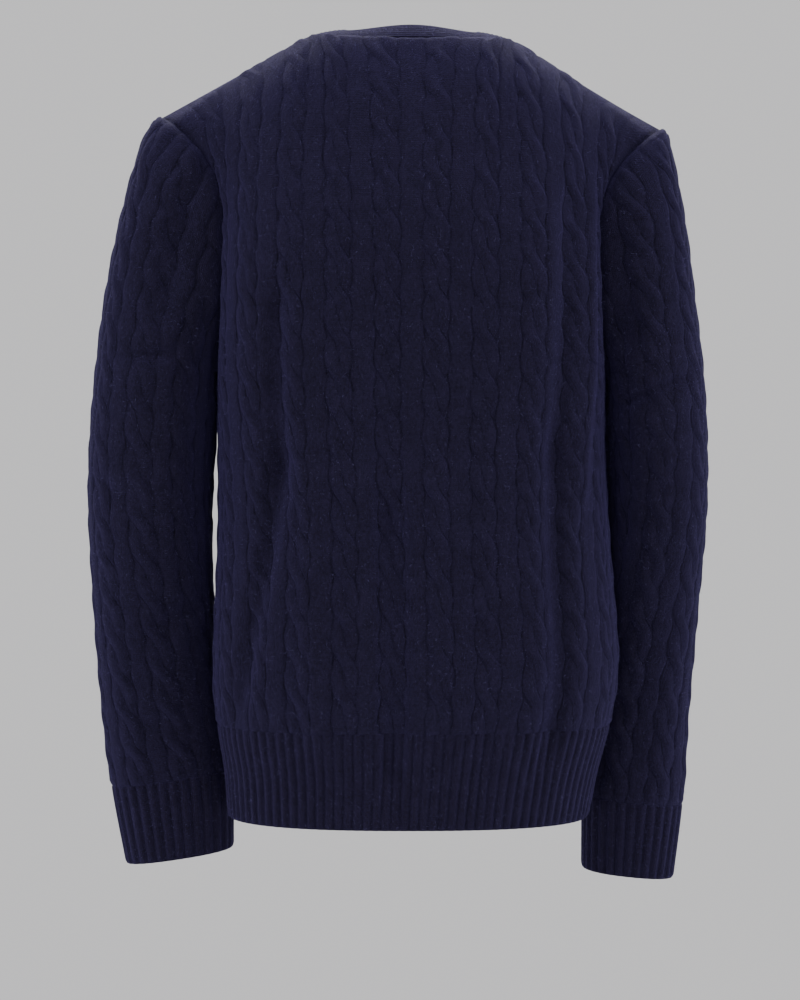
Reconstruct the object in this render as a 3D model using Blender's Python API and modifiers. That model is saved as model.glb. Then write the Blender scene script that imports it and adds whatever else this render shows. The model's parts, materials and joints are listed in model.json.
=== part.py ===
"""A cable knit cardigan, buttoned, in the hollow form that it takes when it is worn.

Metres, +Z up. The front faces -Y, the back faces +Y and the wearer's left is +X. The origin
is where the garment is held: between the shoulders, level with the two neck points.

Each knitted panel is cut flat, in u (across, from the centre line) and v (up, from the seam
of the hem or cuff). A form carries u and v to the worn shape, which is the plain inside of
the cloth. The outside lies a wall's thickness out, and further out on cables and ribs.
"""

import math
from functools import partial

import bmesh
import bpy
import numpy as np
from mathutils import Matrix, Vector
from mathutils.geometry import delaunay_2d_cdt

# ---- cloth -------------------------------------------------------------------------------
WALL = 0.0020
SEAM_GAP = 0.0003
BAND_WALL = 0.0025
WELD = 2e-5
ON_SEAM = 1e-9

# ---- cables: a repeat is one cable and the plain channel beside it -----------------------
BODY_REPEAT = 0.040
SLEEVE_REPEAT = 0.036
CABLE_HALF = 0.0115
CROSSING_PITCH = 0.032
FIRST_CROSSING = 0.028
CABLE_HEIGHT = 0.0034
CABLE_SHOULDER = 0.0022
CABLE_NICK = 0.0012
STRAND_REACH = 0.0075
STRAND_SLOPE = 0.0090
FRONT_FIRST_CABLE = 0.036
FRONT_CABLES = 5
SLEEVE_CABLES_A_SIDE = 6

# ---- ribs --------------------------------------------------------------------------------
RIB_HEIGHT = 0.0017
HEM_HEIGHT = 0.077
HEM_RIBS_BACK = 54
HEM_RIBS_FRONT = 25
CUFF_RIBS = 30

# ---- flat cut of the body ----------------------------------------------------------------
BODY_HALF = 0.240
SHOULDER_HALF = 0.2125
NECK_HALF = 0.088
BACK_NECK_RISE = 0.566
NECK_POINT_RISE = 0.584
SHOULDER_RISE = 0.512
VEE_RISE = 0.340
VEE_SOFTNESS = 0.012

# ---- worn body ---------------------------------------------------------------------------
HEM_SEAM_Z = -0.575
UNDERARM_Z = -0.276
SHOULDER_Z = -0.071
SHOULDER_X = 0.210
NECK_POINT_X = 0.082
BACK_NECK_Y = 0.055
BACK_NECK_Z = -0.016
FRONT_PIT_Y = -0.042
FRONT_PIT_Z = -0.060
FRONT_PIT_DROP = 0.060
UNDERARM_X = 0.157
ARMHOLE_X = 0.151
ARMHOLE_WAIST = 0.55
ARMHOLE_DEPTH = 0.050
ARMHOLE_POWER = 2.3
ROUND_MID, ROUND_END, ROUND_OUT = 0.4, 0.82, 0.6
EDGE_PULL = 5
EDGE_EASING = 3
RIGHT_SHOULDER_DROP = 0.010
DROP_X, DROP_LOW_Z, DROP_RISE = 0.20, -0.45, 0.25

BODY_COLUMNS = (
    "rise_mid rise_side z_mid z_side half_width back front squareness shoulder round sway"
).split()
BODY_LEVELS = (
    (-0.077, -0.077, -0.652, -0.652, 0.1480, 0.094, -0.096, 2.5, 0.00, 0.000, 0.0025),
    (-0.0385, -0.0385, -0.6135, -0.6135, 0.1535, 0.097, -0.099, 2.5, 0.00, 0.000, 0.0000),
    (0.000, 0.000, -0.575, -0.575, 0.1610, 0.101, -0.104, 2.6, 0.00, 0.000, -0.0020),
    (0.054, 0.054, -0.521, -0.521, 0.1655, 0.107, -0.110, 2.6, 0.00, 0.000, -0.0040),
    (0.154, 0.154, -0.421, -0.421, 0.1600, 0.102, -0.111, 2.7, 0.00, 0.000, -0.0020),
    (0.229, 0.229, -0.346, -0.346, 0.1575, 0.105, -0.117, 3.0, 0.00, 0.000, 0.0000),
    (0.300, 0.300, -0.276, -0.276, 0.1570, 0.110, -0.122, 3.4, 0.00, 0.000, 0.0000),
    (0.371, 0.362, -0.206, -0.216, 0.1541, 0.114, -0.118, 3.6, 0.00, 0.000, 0.0000),
    (0.440, 0.418, -0.140, -0.160, 0.1551, 0.109, -0.104, 3.2, 0.05, 0.000, 0.0000),
    (0.502, 0.468, -0.080, -0.110, 0.1775, 0.090, -0.080, 2.6, 0.35, 0.012, 0.0000),
    (0.566, 0.512, -0.016, -0.071, 0.2100, 0.055, -0.045, 2.2, 1.00, 0.000, 0.0000),
)
UNDERARM_LEVEL = 6
ARMHOLE_LEVEL = 8

# ---- worn sleeves, from the cuff's edge up; x is measured outward from the centre --------
SLEEVE_COLUMNS = "z outer inner y_mid depth".split()
SLEEVE_LEVELS = {
    "left": (
        (-0.695, 0.2425, 0.1560, -0.042, 0.029),
        (-0.628, 0.2545, 0.1570, -0.040, 0.034),
        (-0.550, 0.2620, 0.1690, -0.032, 0.042),
        (-0.466, 0.2665, 0.1720, -0.020, 0.050),
        (-0.380, 0.2680, 0.1715, -0.008, 0.057),
        (-0.276, 0.2600, 0.1615, 0.000, 0.060),
        (-0.213, 0.2515, 0.1530, 0.000, 0.060),
        (-0.150, 0.2385, 0.1530, 0.000, 0.060),
        (-0.108, 0.2270, 0.1680, 0.000, 0.060),
        (-0.087, 0.2195, 0.1900, 0.000, 0.060),
        (-0.071, 0.2105, 0.2100, 0.000, 0.060),
    ),
    "right": (
        (-0.713, 0.2255, 0.1520, -0.058, 0.030),
        (-0.650, 0.2335, 0.1530, -0.060, 0.036),
        (-0.570, 0.2385, 0.1580, -0.060, 0.042),
        (-0.490, 0.2435, 0.1650, -0.048, 0.050),
        (-0.390, 0.2475, 0.1700, -0.022, 0.058),
        (-0.276, 0.2410, 0.1615, 0.000, 0.060),
        (-0.213, 0.2340, 0.1530, 0.000, 0.060),
        (-0.150, 0.2260, 0.1530, 0.000, 0.060),
        (-0.108, 0.2185, 0.1680, 0.000, 0.060),
        (-0.087, 0.2140, 0.1900, 0.000, 0.060),
        (-0.071, 0.2105, 0.2100, 0.000, 0.060),
    ),
}
CUFF_SEAM_ROW = 1
SIDE = {"left": 1.0, "right": -1.0}
CUFF_TILT = {"left": 0.15, "right": 0.10}
TILT_TOP_Z, TILT_FADE = -0.42, 0.20
SLEEVE_SQUARENESS = 2.4
SLEEVE_FULLNESS = 1.2
BODY_CLEARANCE = 0.0125
ARMHOLE_GAP = 0.0010
UNDERARM_TURN = 0.0040
UNDERARM_REACH = 0.050
UNDERARM_OPENS = 0.009
SLEEVE_CABLE_START = 0.011

# ---- band and buttons --------------------------------------------------------------------
BAND_WIDTH = 0.028
BAND_CROWN = 0.0006
BAND_LEAN_BACK = math.radians(52)
BAND_LEAN_SIDE = math.radians(80)
LEAN_FROM_Z, LEAN_RISE = -0.085, 0.075
BAND_CENTRE_Y = 0.001
BAND_SECTION = (0.0, 0.25, 0.5, 0.75, 1.0)
OVER_LIFT = 0.0045
LIFT_FULL, LIFT_FADE = 0.020, 0.050
LIFT_ABOVE_VEE, LIFT_RISE_FADE = 0.055, 0.080
BUTTONS = 6
BUTTON_RADIUS = 0.0090
BUTTON_THICKNESS = 0.0034
BUTTON_PROFILE = (  # shares of the radius and of half the thickness
    (0.00, 0.35), (0.62, 0.35), (0.78, 1.00), (0.94, 0.80), (1.00, 0.00), (0.88, -1.00),
    (0.00, -1.00),
)
BUTTON_STEPS, HOLE_STEPS = 20, 8
HOLES, HOLE_OFFSET, HOLE_RADIUS = 4, 0.0025, 0.0009
TOP_BUTTON_DROP, LOW_BUTTON_V, BUTTON_U = 0.012, -0.045, -1e-6

# ---- soft folds of the body: across and up in the cut, inward where the depth is negative -
FOLD_FADE = 0.050
FOLD_QUIET = 0.10
FOLD_COLUMNS = "face across low high width depth lean".split()
FOLDS = (
    (1, 0.128, 0.010, 0.330, 0.0130, -0.0040, 0.050),
    (1, 0.106, 0.020, 0.260, 0.0130, 0.0030, 0.020),
    (1, -0.128, 0.000, 0.200, 0.0140, -0.0040, -0.060),
    (1, 0.018, -0.030, 0.250, 0.0200, -0.0030, 0.000),
    (-1, 0.120, 0.000, 0.240, 0.0160, -0.0035, 0.060),
    (-1, -0.110, 0.020, 0.270, 0.0160, -0.0035, -0.050),
)

# ---- mesh density ------------------------------------------------------------------------
FORM_COLUMNS = 96
ARC_STEPS = 721
FORM_ROWS_PER_LEVEL = 20
EDGE_STEP = 0.020
FRONT_EDGE_STEP = 0.018
PLAIN_ACROSS = 0.020
PLAIN_UP = 0.056
PLAIN_MARGIN = 0.008
FEATURE_MARGIN = 0.0065
MARK_MARGIN = 0.006
HALVINGS = 40
SLEEVE_TUBE_ROWS, SLEEVE_HEAD_ROWS = 121, 61
PLAIN_STEP = 4


def smoothstep(x):
    x = np.clip(x, 0.0, 1.0)
    return x * x * (3.0 - 2.0 * x)


def smooth(knots, values, at):
    """Cubic curve through the rows of a table, read at any place between its knots."""
    knots, values, at = (np.asarray(a, float) for a in (knots, values, at))
    slopes = np.gradient(values, knots, axis=0)
    i = np.clip(np.searchsorted(knots, at, side="right") - 1, 0, len(knots) - 2)
    span = (knots[i + 1] - knots[i])[..., None]
    s = (at - knots[i])[..., None] / span
    return (
        (1 + 2 * s) * (1 - s) ** 2 * values[i]
        + s * (1 - s) ** 2 * span * slopes[i]
        + s * s * (3 - 2 * s) * values[i + 1]
        + s * s * (s - 1) * span * slopes[i + 1]
    )


def named(columns, values):
    return {name: values[..., k] for k, name in enumerate(columns)}


def armhole(z):
    """x and y, both positive, of the armhole's edge at height z."""
    s = np.clip((z - UNDERARM_Z) / (SHOULDER_Z - UNDERARM_Z), 0.0, 1.0)
    low = np.clip(1.0 - s / ARMHOLE_WAIST, 0.0, 1.0)
    high = np.clip((s - ARMHOLE_WAIST) / (1.0 - ARMHOLE_WAIST), 0.0, 1.0)
    x = ARMHOLE_X + (UNDERARM_X - ARMHOLE_X) * low**2
    x = x + (SHOULDER_X - ARMHOLE_X) * high**ARMHOLE_POWER
    away = np.abs(2.0 * s - 1.0) ** ARMHOLE_POWER
    return x, ARMHOLE_DEPTH * (1.0 - away) ** (1.0 / ARMHOLE_POWER)


def even_arc(x, y, count):
    """Rows of curve points, respaced so that each row's steps are equal along its curve."""
    steps = np.hypot(np.diff(x, axis=1), np.diff(y, axis=1))
    run = np.concatenate([np.zeros((len(x), 1)), np.cumsum(steps, axis=1)], axis=1)
    share = np.linspace(0.0, 1.0, count + 1)
    out = np.empty((len(x), count + 1, 2))
    for row in range(len(x)):
        at = share * run[row, -1]
        out[row, :, 0] = np.interp(at, run[row], x[row])
        out[row, :, 1] = np.interp(at, run[row], y[row])
    return out, run[:, -1]


class Form:
    """A worn surface as rows of points: fraction f across, row t up, with its flat cut."""

    def __init__(self, points, rise, half, outward):
        self.points, self.rise, self.half = points, rise, np.maximum(half, 1e-6)
        across = np.gradient(points, axis=1)
        up = np.gradient(points, axis=0)
        normals = np.cross(across, up) * outward
        length = np.linalg.norm(normals, axis=2, keepdims=True)
        self.normals = normals / np.maximum(length, 1e-12)

    def read(self, grid, f, t):
        rows, columns = grid.shape[0] - 1, grid.shape[1] - 1
        t, c = np.clip(t, 0, rows), np.clip(f, 0, 1) * columns
        j = np.minimum(t.astype(int), rows - 1)
        i = np.minimum(c.astype(int), columns - 1)
        a, b = t - j, c - i
        if grid.ndim == 3:
            a, b = a[:, None], b[:, None]
        low = grid[j, i] * (1 - b) + grid[j, i + 1] * b
        high = grid[j + 1, i] * (1 - b) + grid[j + 1, i + 1] * b
        return low * (1 - a) + high * a

    def fraction(self, u, t):
        return np.minimum(u / np.interp(t, np.arange(len(self.half)), self.half), 1.0)

    def locate(self, u, v):
        """Fraction and row of flat points, found by halving, as rise grows with t."""
        low = np.zeros(len(u))
        high = np.full(len(u), len(self.half) - 1.0)
        for _ in range(HALVINGS):
            t = (low + high) / 2
            below = self.read(self.rise, self.fraction(u, t), t) < v
            low, high = np.where(below, t, low), np.where(below, high, t)
        t = (low + high) / 2
        return self.fraction(u, t), t

    def at(self, f, t):
        normals = self.read(self.normals, f, t)
        normals /= np.linalg.norm(normals, axis=1, keepdims=True)
        return self.read(self.points, f, t), normals


def top_line(f, face):
    """The top edge of a body panel: half the neck, then the shoulder seam, and its rise."""
    neck = NECK_HALF / SHOULDER_HALF
    turn = np.clip(f / neck, 0, 1) * math.pi / 2
    along = np.clip((f - neck) / (1 - neck), 0, 1)
    if face > 0:
        pit_y, pit_z, pit_rise = BACK_NECK_Y, BACK_NECK_Z, BACK_NECK_RISE
    else:
        pit_y, pit_z, pit_rise = FRONT_PIT_Y, FRONT_PIT_Z, NECK_POINT_RISE - FRONT_PIT_DROP
    x = NECK_POINT_X * np.sin(turn) + (SHOULDER_X - NECK_POINT_X) * along
    z = pit_z * np.cos(turn) + SHOULDER_Z * along
    rise = NECK_POINT_RISE + (pit_rise - NECK_POINT_RISE) * np.cos(turn)
    rise = rise + (SHOULDER_RISE - NECK_POINT_RISE) * along
    return np.stack([x, pit_y * np.cos(turn), z], axis=-1), rise


def body_form(face):
    """The worn back (face 1) or front (face -1), from the centre line to the side seam."""
    levels = len(BODY_LEVELS) - 1
    index = np.linspace(0, levels, levels * FORM_ROWS_PER_LEVEL + 1)
    level = named(BODY_COLUMNS, smooth(np.arange(levels + 1), BODY_LEVELS, index))
    above = index > UNDERARM_LEVEL
    hole_x, hole_y = armhole(level["z_side"])
    width = level["half_width"][:, None]
    side_x = np.where(above, hole_x, level["half_width"])
    side_y = np.where(above, face * hole_y, 0.0)
    depth = level["back"] if face > 0 else level["front"]

    power = 2.0 / level["squareness"]
    last = np.arccos((side_y / depth) ** (1 / power))
    turn = np.linspace(0, 1, ARC_STEPS)[None, :] * last[:, None]
    power = power[:, None]
    x = width * np.sin(turn) ** power
    y = depth[:, None] * np.clip(np.cos(turn), 0, 1) ** power
    plan, run = even_arc(x, y, FORM_COLUMNS)

    f = np.linspace(0, 1, FORM_COLUMNS + 1)[None, :]
    z = level["z_mid"][:, None] + (level["z_side"] - level["z_mid"])[:, None] * f**2
    rise = level["rise_mid"][:, None] + (level["rise_side"] - level["rise_mid"])[:, None] * f**2
    points = np.concatenate([plan, z[..., None]], axis=2)

    edge, edge_rise = top_line(f[0], face)
    weight = np.clip(level["shoulder"], 0, 1)[:, None]
    points += weight[..., None] * (edge[None] - points)
    rise += weight * (edge_rise[None] - rise)
    swell = np.sin(math.pi * np.clip(f / ROUND_END, 0, 1))
    bulge = level["round"][:, None] * (ROUND_MID + (1 - ROUND_MID) * swell)
    points[..., 1] += face * ROUND_OUT * bulge
    points[..., 2] += bulge

    hem = np.stack([side_x, side_y, level["z_side"]], axis=1)
    miss = np.where(above[:, None], hem - points[:, -1], 0.0)
    points += miss[:, None, :] * (f**EDGE_PULL)[..., None]

    cut = BODY_HALF * run / run[UNDERARM_LEVEL * FORM_ROWS_PER_LEVEL]
    cut += (SHOULDER_HALF - cut) * smoothstep((index - ARMHOLE_LEVEL) / (levels - ARMHOLE_LEVEL))
    half = np.where(above, cut, BODY_HALF)

    form = Form(points, rise, half, -face)
    form.normals[:, 0, 0] = 0.0
    form.normals[~above, -1, 1] = 0.0
    form.normals[-1, f[0] >= NECK_HALF / SHOULDER_HALF, 1] = 0.0
    form.normals /= np.linalg.norm(form.normals, axis=2, keepdims=True)
    form.side_z = level["z_side"]
    form.depth, form.width = depth, level["half_width"]
    form.squareness = level["squareness"]
    return form


def folds(face, u, v):
    out = np.zeros(len(u))
    for row in FOLDS:
        fold = dict(zip(FOLD_COLUMNS, row, strict=True))
        if fold["face"] != face:
            continue
        middle = (fold["low"] + fold["high"]) / 2
        reach = (fold["high"] - fold["low"]) / 2
        centre = fold["across"] + fold["lean"] * (v - middle)
        window = smoothstep((reach - np.abs(v - middle)) / FOLD_FADE)
        out += fold["depth"] * window * np.exp(-(((u - centre) / fold["width"]) ** 2))
    return out


def settle(points):
    """The right shoulder hangs a little lower, and its sleeve with it."""
    side = smoothstep(-points[:, 0] / DROP_X)
    height = smoothstep((points[:, 2] - DROP_LOW_Z) / DROP_RISE)
    points[:, 2] -= RIGHT_SHOULDER_DROP * side * height
    return points


def sway(z):
    column = BODY_COLUMNS.index("sway")
    knots = [row[3] for row in BODY_LEVELS]
    return np.interp(z, knots, [row[column] for row in BODY_LEVELS])


def over_lift(u, v):
    """How far the right front stands out at its edge, to lie over the left one."""
    near = 1.0 - smoothstep((np.abs(u) - LIFT_FULL) / LIFT_FADE)
    below = 1.0 - smoothstep((v - VEE_RISE - LIFT_ABOVE_VEE) / LIFT_RISE_FADE)
    return np.where(u < 0, OVER_LIFT * near * below, 0.0)


BACK = body_form(1)
FRONT = body_form(-1)


def place_body(face, uv):
    """Worn inner points and outward normals of flat body points; u is negative on the right."""
    uv = np.asarray(uv, float)
    form = BACK if face > 0 else FRONT
    side = np.where(uv[:, 0] < 0, -1.0, 1.0)
    f, t = form.locate(np.abs(uv[:, 0]), uv[:, 1])
    points, normals = form.at(f, t)
    points[:, 0] *= side
    normals[:, 0] *= side
    quiet = smoothstep((1 - f) / FOLD_QUIET)
    points += normals * (folds(face, uv[:, 0], uv[:, 1]) * quiet)[:, None]
    points[:, 0] += sway(points[:, 2])
    if face < 0:
        points[:, 1] -= over_lift(uv[:, 0], uv[:, 1])
    return points, normals


ARMHOLE_STEPS = 15


def armhole_edge(face):
    """The armhole's edge on the left side: flat points, worn points, normals, underarm up."""
    form = BACK if face > 0 else FRONT
    turn = np.linspace(0, math.pi, ARMHOLE_STEPS + 1)
    z = (UNDERARM_Z + SHOULDER_Z) / 2 - (SHOULDER_Z - UNDERARM_Z) / 2 * np.cos(turn)
    t = np.interp(z, form.side_z, np.arange(len(form.side_z)))
    flat = np.stack([np.interp(t, np.arange(len(form.half)), form.half),
                     form.read(form.rise, np.ones(len(t)), t)], axis=1)
    _, normals = form.at(np.ones(len(t)), t)
    x, y = armhole(z)
    worn = np.stack([x, face * y, z], axis=1)
    for _ in range(EDGE_EASING):
        low, high = normals[1:2] * (1, -1, 1), normals[-2:-1] * (1, -1, 1)
        wide = np.concatenate([low, normals, high])
        normals = wide[:-2] + 2 * wide[1:-1] + wide[2:]
        normals /= np.linalg.norm(normals, axis=1, keepdims=True)
    normals[0] = (1.0, 0.0, 0.0)
    return flat, worn, normals


def unit(vector):
    vector = np.asarray(vector, float)
    return vector / np.linalg.norm(vector)


def cuff_tilt(name, z):
    return CUFF_TILT[name] * smoothstep((TILT_TOP_Z - z) / TILT_FADE)


def sleeve_form(name, face):
    """Half a worn sleeve, from the over-arm line to the under-arm seam or the armhole."""
    rows = SLEEVE_LEVELS[name]
    knots = [row[0] for row in rows]
    tube = np.linspace(knots[0], UNDERARM_Z, SLEEVE_TUBE_ROWS)
    turn = np.linspace(0, math.pi, SLEEVE_HEAD_ROWS)[1:]
    middle, reach = (UNDERARM_Z + SHOULDER_Z) / 2, (SHOULDER_Z - UNDERARM_Z) / 2
    z = np.concatenate([tube, middle - reach * np.cos(turn)])
    level = named(SLEEVE_COLUMNS, smooth(knots, rows, z))
    above = z > UNDERARM_Z
    hole_x, hole_y = armhole(z)
    edge_flat, edge_worn, edge_normals = sleeve_edge(face)
    edge = np.stack([np.interp(z, edge_flat, edge_worn[:, k]) for k in range(3)], axis=1)

    depth = np.where(z > middle, SLEEVE_FULLNESS * hole_y, level["depth"])
    inner = np.where(above, hole_x + WALL, level["inner"])
    outer = np.maximum(level["outer"], inner + 1e-4)
    centre, half = (outer + inner) / 2, (outer - inner) / 2
    power = 2.0 / SLEEVE_SQUARENESS
    share = np.where(above, hole_y / np.maximum(depth, 1e-6), 0.0)
    last = math.pi - np.arcsin(np.clip(share, 0, 1) ** (1 / power))
    around = np.linspace(0, 1, ARC_STEPS)[None, :] * last[:, None]
    cos, sin = np.cos(around), np.clip(np.sin(around), 0, 1)
    x = centre[:, None] + half[:, None] * np.sign(cos) * np.abs(cos) ** power
    y = level["y_mid"][:, None] + face * depth[:, None] * sin**power

    x = np.maximum(x, beside_body(name, y, z[:, None]))
    plan, run = even_arc(x, y, FORM_COLUMNS)
    tilt = cuff_tilt(name, z)
    height = z[:, None] - tilt[:, None] * (plan[..., 0] - centre[:, None])
    points = np.concatenate([plan, height[..., None]], axis=2)
    f = np.linspace(0, 1, FORM_COLUMNS + 1)
    miss = np.where(above[:, None], edge - points[:, -1], 0.0)
    points += miss[:, None, :] * (f**EDGE_PULL)[None, :, None]

    seam = knots[CUFF_SEAM_ROW]
    rise = np.repeat((z - seam)[:, None], FORM_COLUMNS + 1, axis=1)
    form = Form(points, rise, run, face)
    form.normals[:, 0, 1] = 0.0
    form.normals[~above, -1, 1] = 0.0
    form.normals[-1] = form.normals[-2]
    form.normals /= np.linalg.norm(form.normals, axis=2, keepdims=True)
    form.seam, form.tilt = seam, float(cuff_tilt(name, seam))
    form.centre = float(np.interp(seam, z, centre))
    return form


def sleeve_edge(face):
    """The sleeve head's edge, sewn on the outside of the armhole's edge: heights, points."""
    _, worn, normals = armhole_edge(face)
    low = smoothstep(1.0 - (worn[:, 2] - UNDERARM_Z) / UNDERARM_REACH)
    points = worn + normals * (WALL + ARMHOLE_GAP)
    points[:, 0] += UNDERARM_TURN * low
    return worn[:, 2], points, normals


def beside_body(name, y, z):
    """The least x of a sleeve's inside, so that it hangs just clear of the body's side."""
    best = np.full(np.broadcast(y, z).shape, -1.0)
    z_full = np.broadcast_to(z, best.shape)
    for form, face in ((BACK, 1), (FRONT, -1)):
        depth = np.interp(z_full, form.side_z, np.abs(form.depth))
        width = np.interp(z_full, form.side_z, form.width)
        square = np.interp(z_full, form.side_z, form.squareness)
        inside = np.clip(1 - (np.abs(y) / depth) ** square, 0, 1) ** (1 / square)
        here = np.where(np.abs(y) < depth, width * inside, -1)
        best = np.where(np.sign(y) * face >= 0, here, best)
    room = WALL + ARMHOLE_GAP + UNDERARM_TURN
    room = room + (BODY_CLEARANCE - room) * smoothstep((UNDERARM_Z - z) / UNDERARM_OPENS)
    clear = best + room + SIDE[name] * sway(z_full)
    return np.where((z < UNDERARM_Z) & (z > HEM_SEAM_Z - HEM_HEIGHT - BODY_CLEARANCE), clear, -1.0)


SLEEVE_FORMS = {
    (name, face): sleeve_form(name, face) for name in SIDE for face in (1, -1)
}


def place_sleeve(name, uv):
    """Worn inner points and normals of flat sleeve points; u is positive on the back half."""
    uv = np.asarray(uv, float)
    points, normals = np.empty((len(uv), 3)), np.empty((len(uv), 3))
    for face in (1, -1):
        mine = (uv[:, 0] >= 0) == (face > 0)
        form = SLEEVE_FORMS[name, face]
        f, t = form.locate(np.abs(uv[mine, 0]), uv[mine, 1])
        points[mine], normals[mine] = form.at(f, t)
    points[:, 0] *= SIDE[name]
    normals[:, 0] *= SIDE[name]
    return points, normals


# ---- flat patterns -----------------------------------------------------------------------
def cable_centres(half, repeat):
    count = int((half - CABLE_HALF) / repeat + 0.5)
    return [(k + 0.5) * repeat for k in range(-count, count)]


def cable_features(centres, low, high, hand):
    """Raised points and the lines that join them, for cables that run up a panel.

    The strand in front runs down to the right at each crossing, seen from outside. hand is
    1 where u grows to the right in that view and -1 where it grows to the left.
    """
    points, chains = [], []

    def chain(rows):
        chains.append(list(range(len(points), len(points) + len(rows))))
        points.extend(rows)

    for centre in centres:
        crossings = np.arange(low + FIRST_CROSSING, high, CROSSING_PITCH)
        for side in (-1, 1):
            chain([(centre + side * CABLE_HALF, v, 0.0) for v in crossings])
        for v in crossings:
            chain([
                (centre - hand * STRAND_REACH, v + STRAND_SLOPE, CABLE_SHOULDER),
                (centre, v, CABLE_HEIGHT),
                (centre + hand * STRAND_REACH, v - STRAND_SLOPE, CABLE_SHOULDER),
            ])
            chain([(centre, v + CROSSING_PITCH / 2, CABLE_NICK)])
    return points, chains


def inside_with_margin(points, outline, margin):
    """Which flat points lie inside an outline and at least margin from its edges."""
    points = np.asarray(points, float)[:, :2]
    start = np.asarray(outline, float)
    end = np.roll(start, -1, axis=0)
    crossings = np.zeros(len(points), int)
    nearest = np.full(len(points), np.inf)
    for (ax, ay), (bx, by) in zip(start, end, strict=True):
        spans = (ay > points[:, 1]) != (by > points[:, 1])
        if ay != by:
            at = ax + (points[:, 1] - ay) * (bx - ax) / (by - ay)
            crossings += spans & (points[:, 0] < at)
        edge = np.array([bx - ax, by - ay])
        along = np.clip(((points - (ax, ay)) @ edge) / (edge @ edge), 0, 1)
        gap = np.linalg.norm(points - (ax, ay) - along[:, None] * edge, axis=1)
        nearest = np.minimum(nearest, gap)
    return (crossings % 2 == 1) & (nearest > margin)


def plain_points(outline):
    outline = np.asarray(outline)
    low, high = outline.min(axis=0), outline.max(axis=0)
    across = np.arange(low[0] + PLAIN_ACROSS / 2, high[0], PLAIN_ACROSS)
    up = np.arange(low[1] + PLAIN_UP / 2, high[1], PLAIN_UP)
    points = np.array([(u, v) for v in up for u in across])
    return points[inside_with_margin(points, outline, PLAIN_MARGIN)]


def triangulate(outline, points, chains):
    """Triangles over an outline and the points inside it, with the chains kept as edges."""
    count = len(outline)
    everything = [Vector(p[:2]) for p in outline] + [Vector(p[:2]) for p in points]
    edges = [(k, (k + 1) % count) for k in range(count)]
    for chain in chains:
        edges += [(count + a, count + b) for a, b in zip(chain, chain[1:], strict=False)]
    made = delaunay_2d_cdt(everything, edges, [list(range(count))], 1, 1e-7)
    source = [originals[0] for originals in made[3]]
    return [[source[k] for k in face] for face in made[2]]


def keep_inside(points, chains, outline):
    """The feature points that are inside the outline, with their chains cut to match."""
    kept = inside_with_margin(points, outline, FEATURE_MARGIN)
    number = np.cumsum(kept) - 1
    pieces = []
    for chain in chains:
        piece = []
        for k in chain + [None]:
            if k is not None and kept[k]:
                piece.append(int(number[k]))
            elif piece:
                pieces.append(piece)
                piece = []
    return [p for p, keep in zip(points, kept, strict=True) if keep], pieces


# ---- solids ------------------------------------------------------------------------------
def add_object(name, mesh, material, collection):
    mesh.materials.clear()
    mesh.materials.append(material)
    piece = bpy.data.objects.new(name, mesh)
    collection.objects.link(piece)
    return piece


def close_up(shell):
    """Weld the sewn edges of a shell and face it outward."""
    bmesh.ops.remove_doubles(shell, verts=shell.verts, dist=WELD)
    bmesh.ops.triangulate(shell, faces=shell.faces)
    bmesh.ops.recalc_face_normals(shell, faces=shell.faces)


def panel(name, place, outline, features, fix, sewn, material, collection):
    """A knitted panel: raised cables outside, plain inside, and a rim round its outline.

    fix moves the rim's inner and outer points onto the seams, and sewn says which of the
    outline's edges are closed onto another edge of the same panel and need no rim.
    """
    points, chains = keep_inside(*features, outline)
    plain = plain_points(outline)
    flat_outline = np.asarray(outline, float)
    base, normals = place(np.concatenate([flat_outline, np.asarray(points)[:, :2], plain]))
    rim, raised = len(outline), len(points)
    height = np.zeros(len(base))
    height[rim:rim + raised] = [p[2] for p in points]
    outer = base + normals * (WALL + height)[:, None]
    base[:rim], outer[:rim] = fix(flat_outline, base[:rim], normals[:rim])
    base, outer = settle(base), settle(outer)

    shell = bmesh.new()
    out = [shell.verts.new(p) for p in outer[:rim + raised]]
    inner_rows = list(range(rim)) + list(range(rim + raised, len(base)))
    inn = [shell.verts.new(base[k]) for k in inner_rows]
    for face in triangulate(outline, points, chains):
        shell.faces.new([out[k] for k in face])
    for face in triangulate(outline, plain, []):
        shell.faces.new([inn[k] for k in reversed(face)])
    for k in range(rim):
        if not sewn(flat_outline[k], flat_outline[(k + 1) % rim]):
            n = (k + 1) % rim
            shell.faces.new([out[n], out[k], inn[k], inn[n]])
    close_up(shell)
    mesh = bpy.data.meshes.new(name)
    shell.to_mesh(mesh)
    shell.free()
    return add_object(name, mesh, material, collection)


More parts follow.
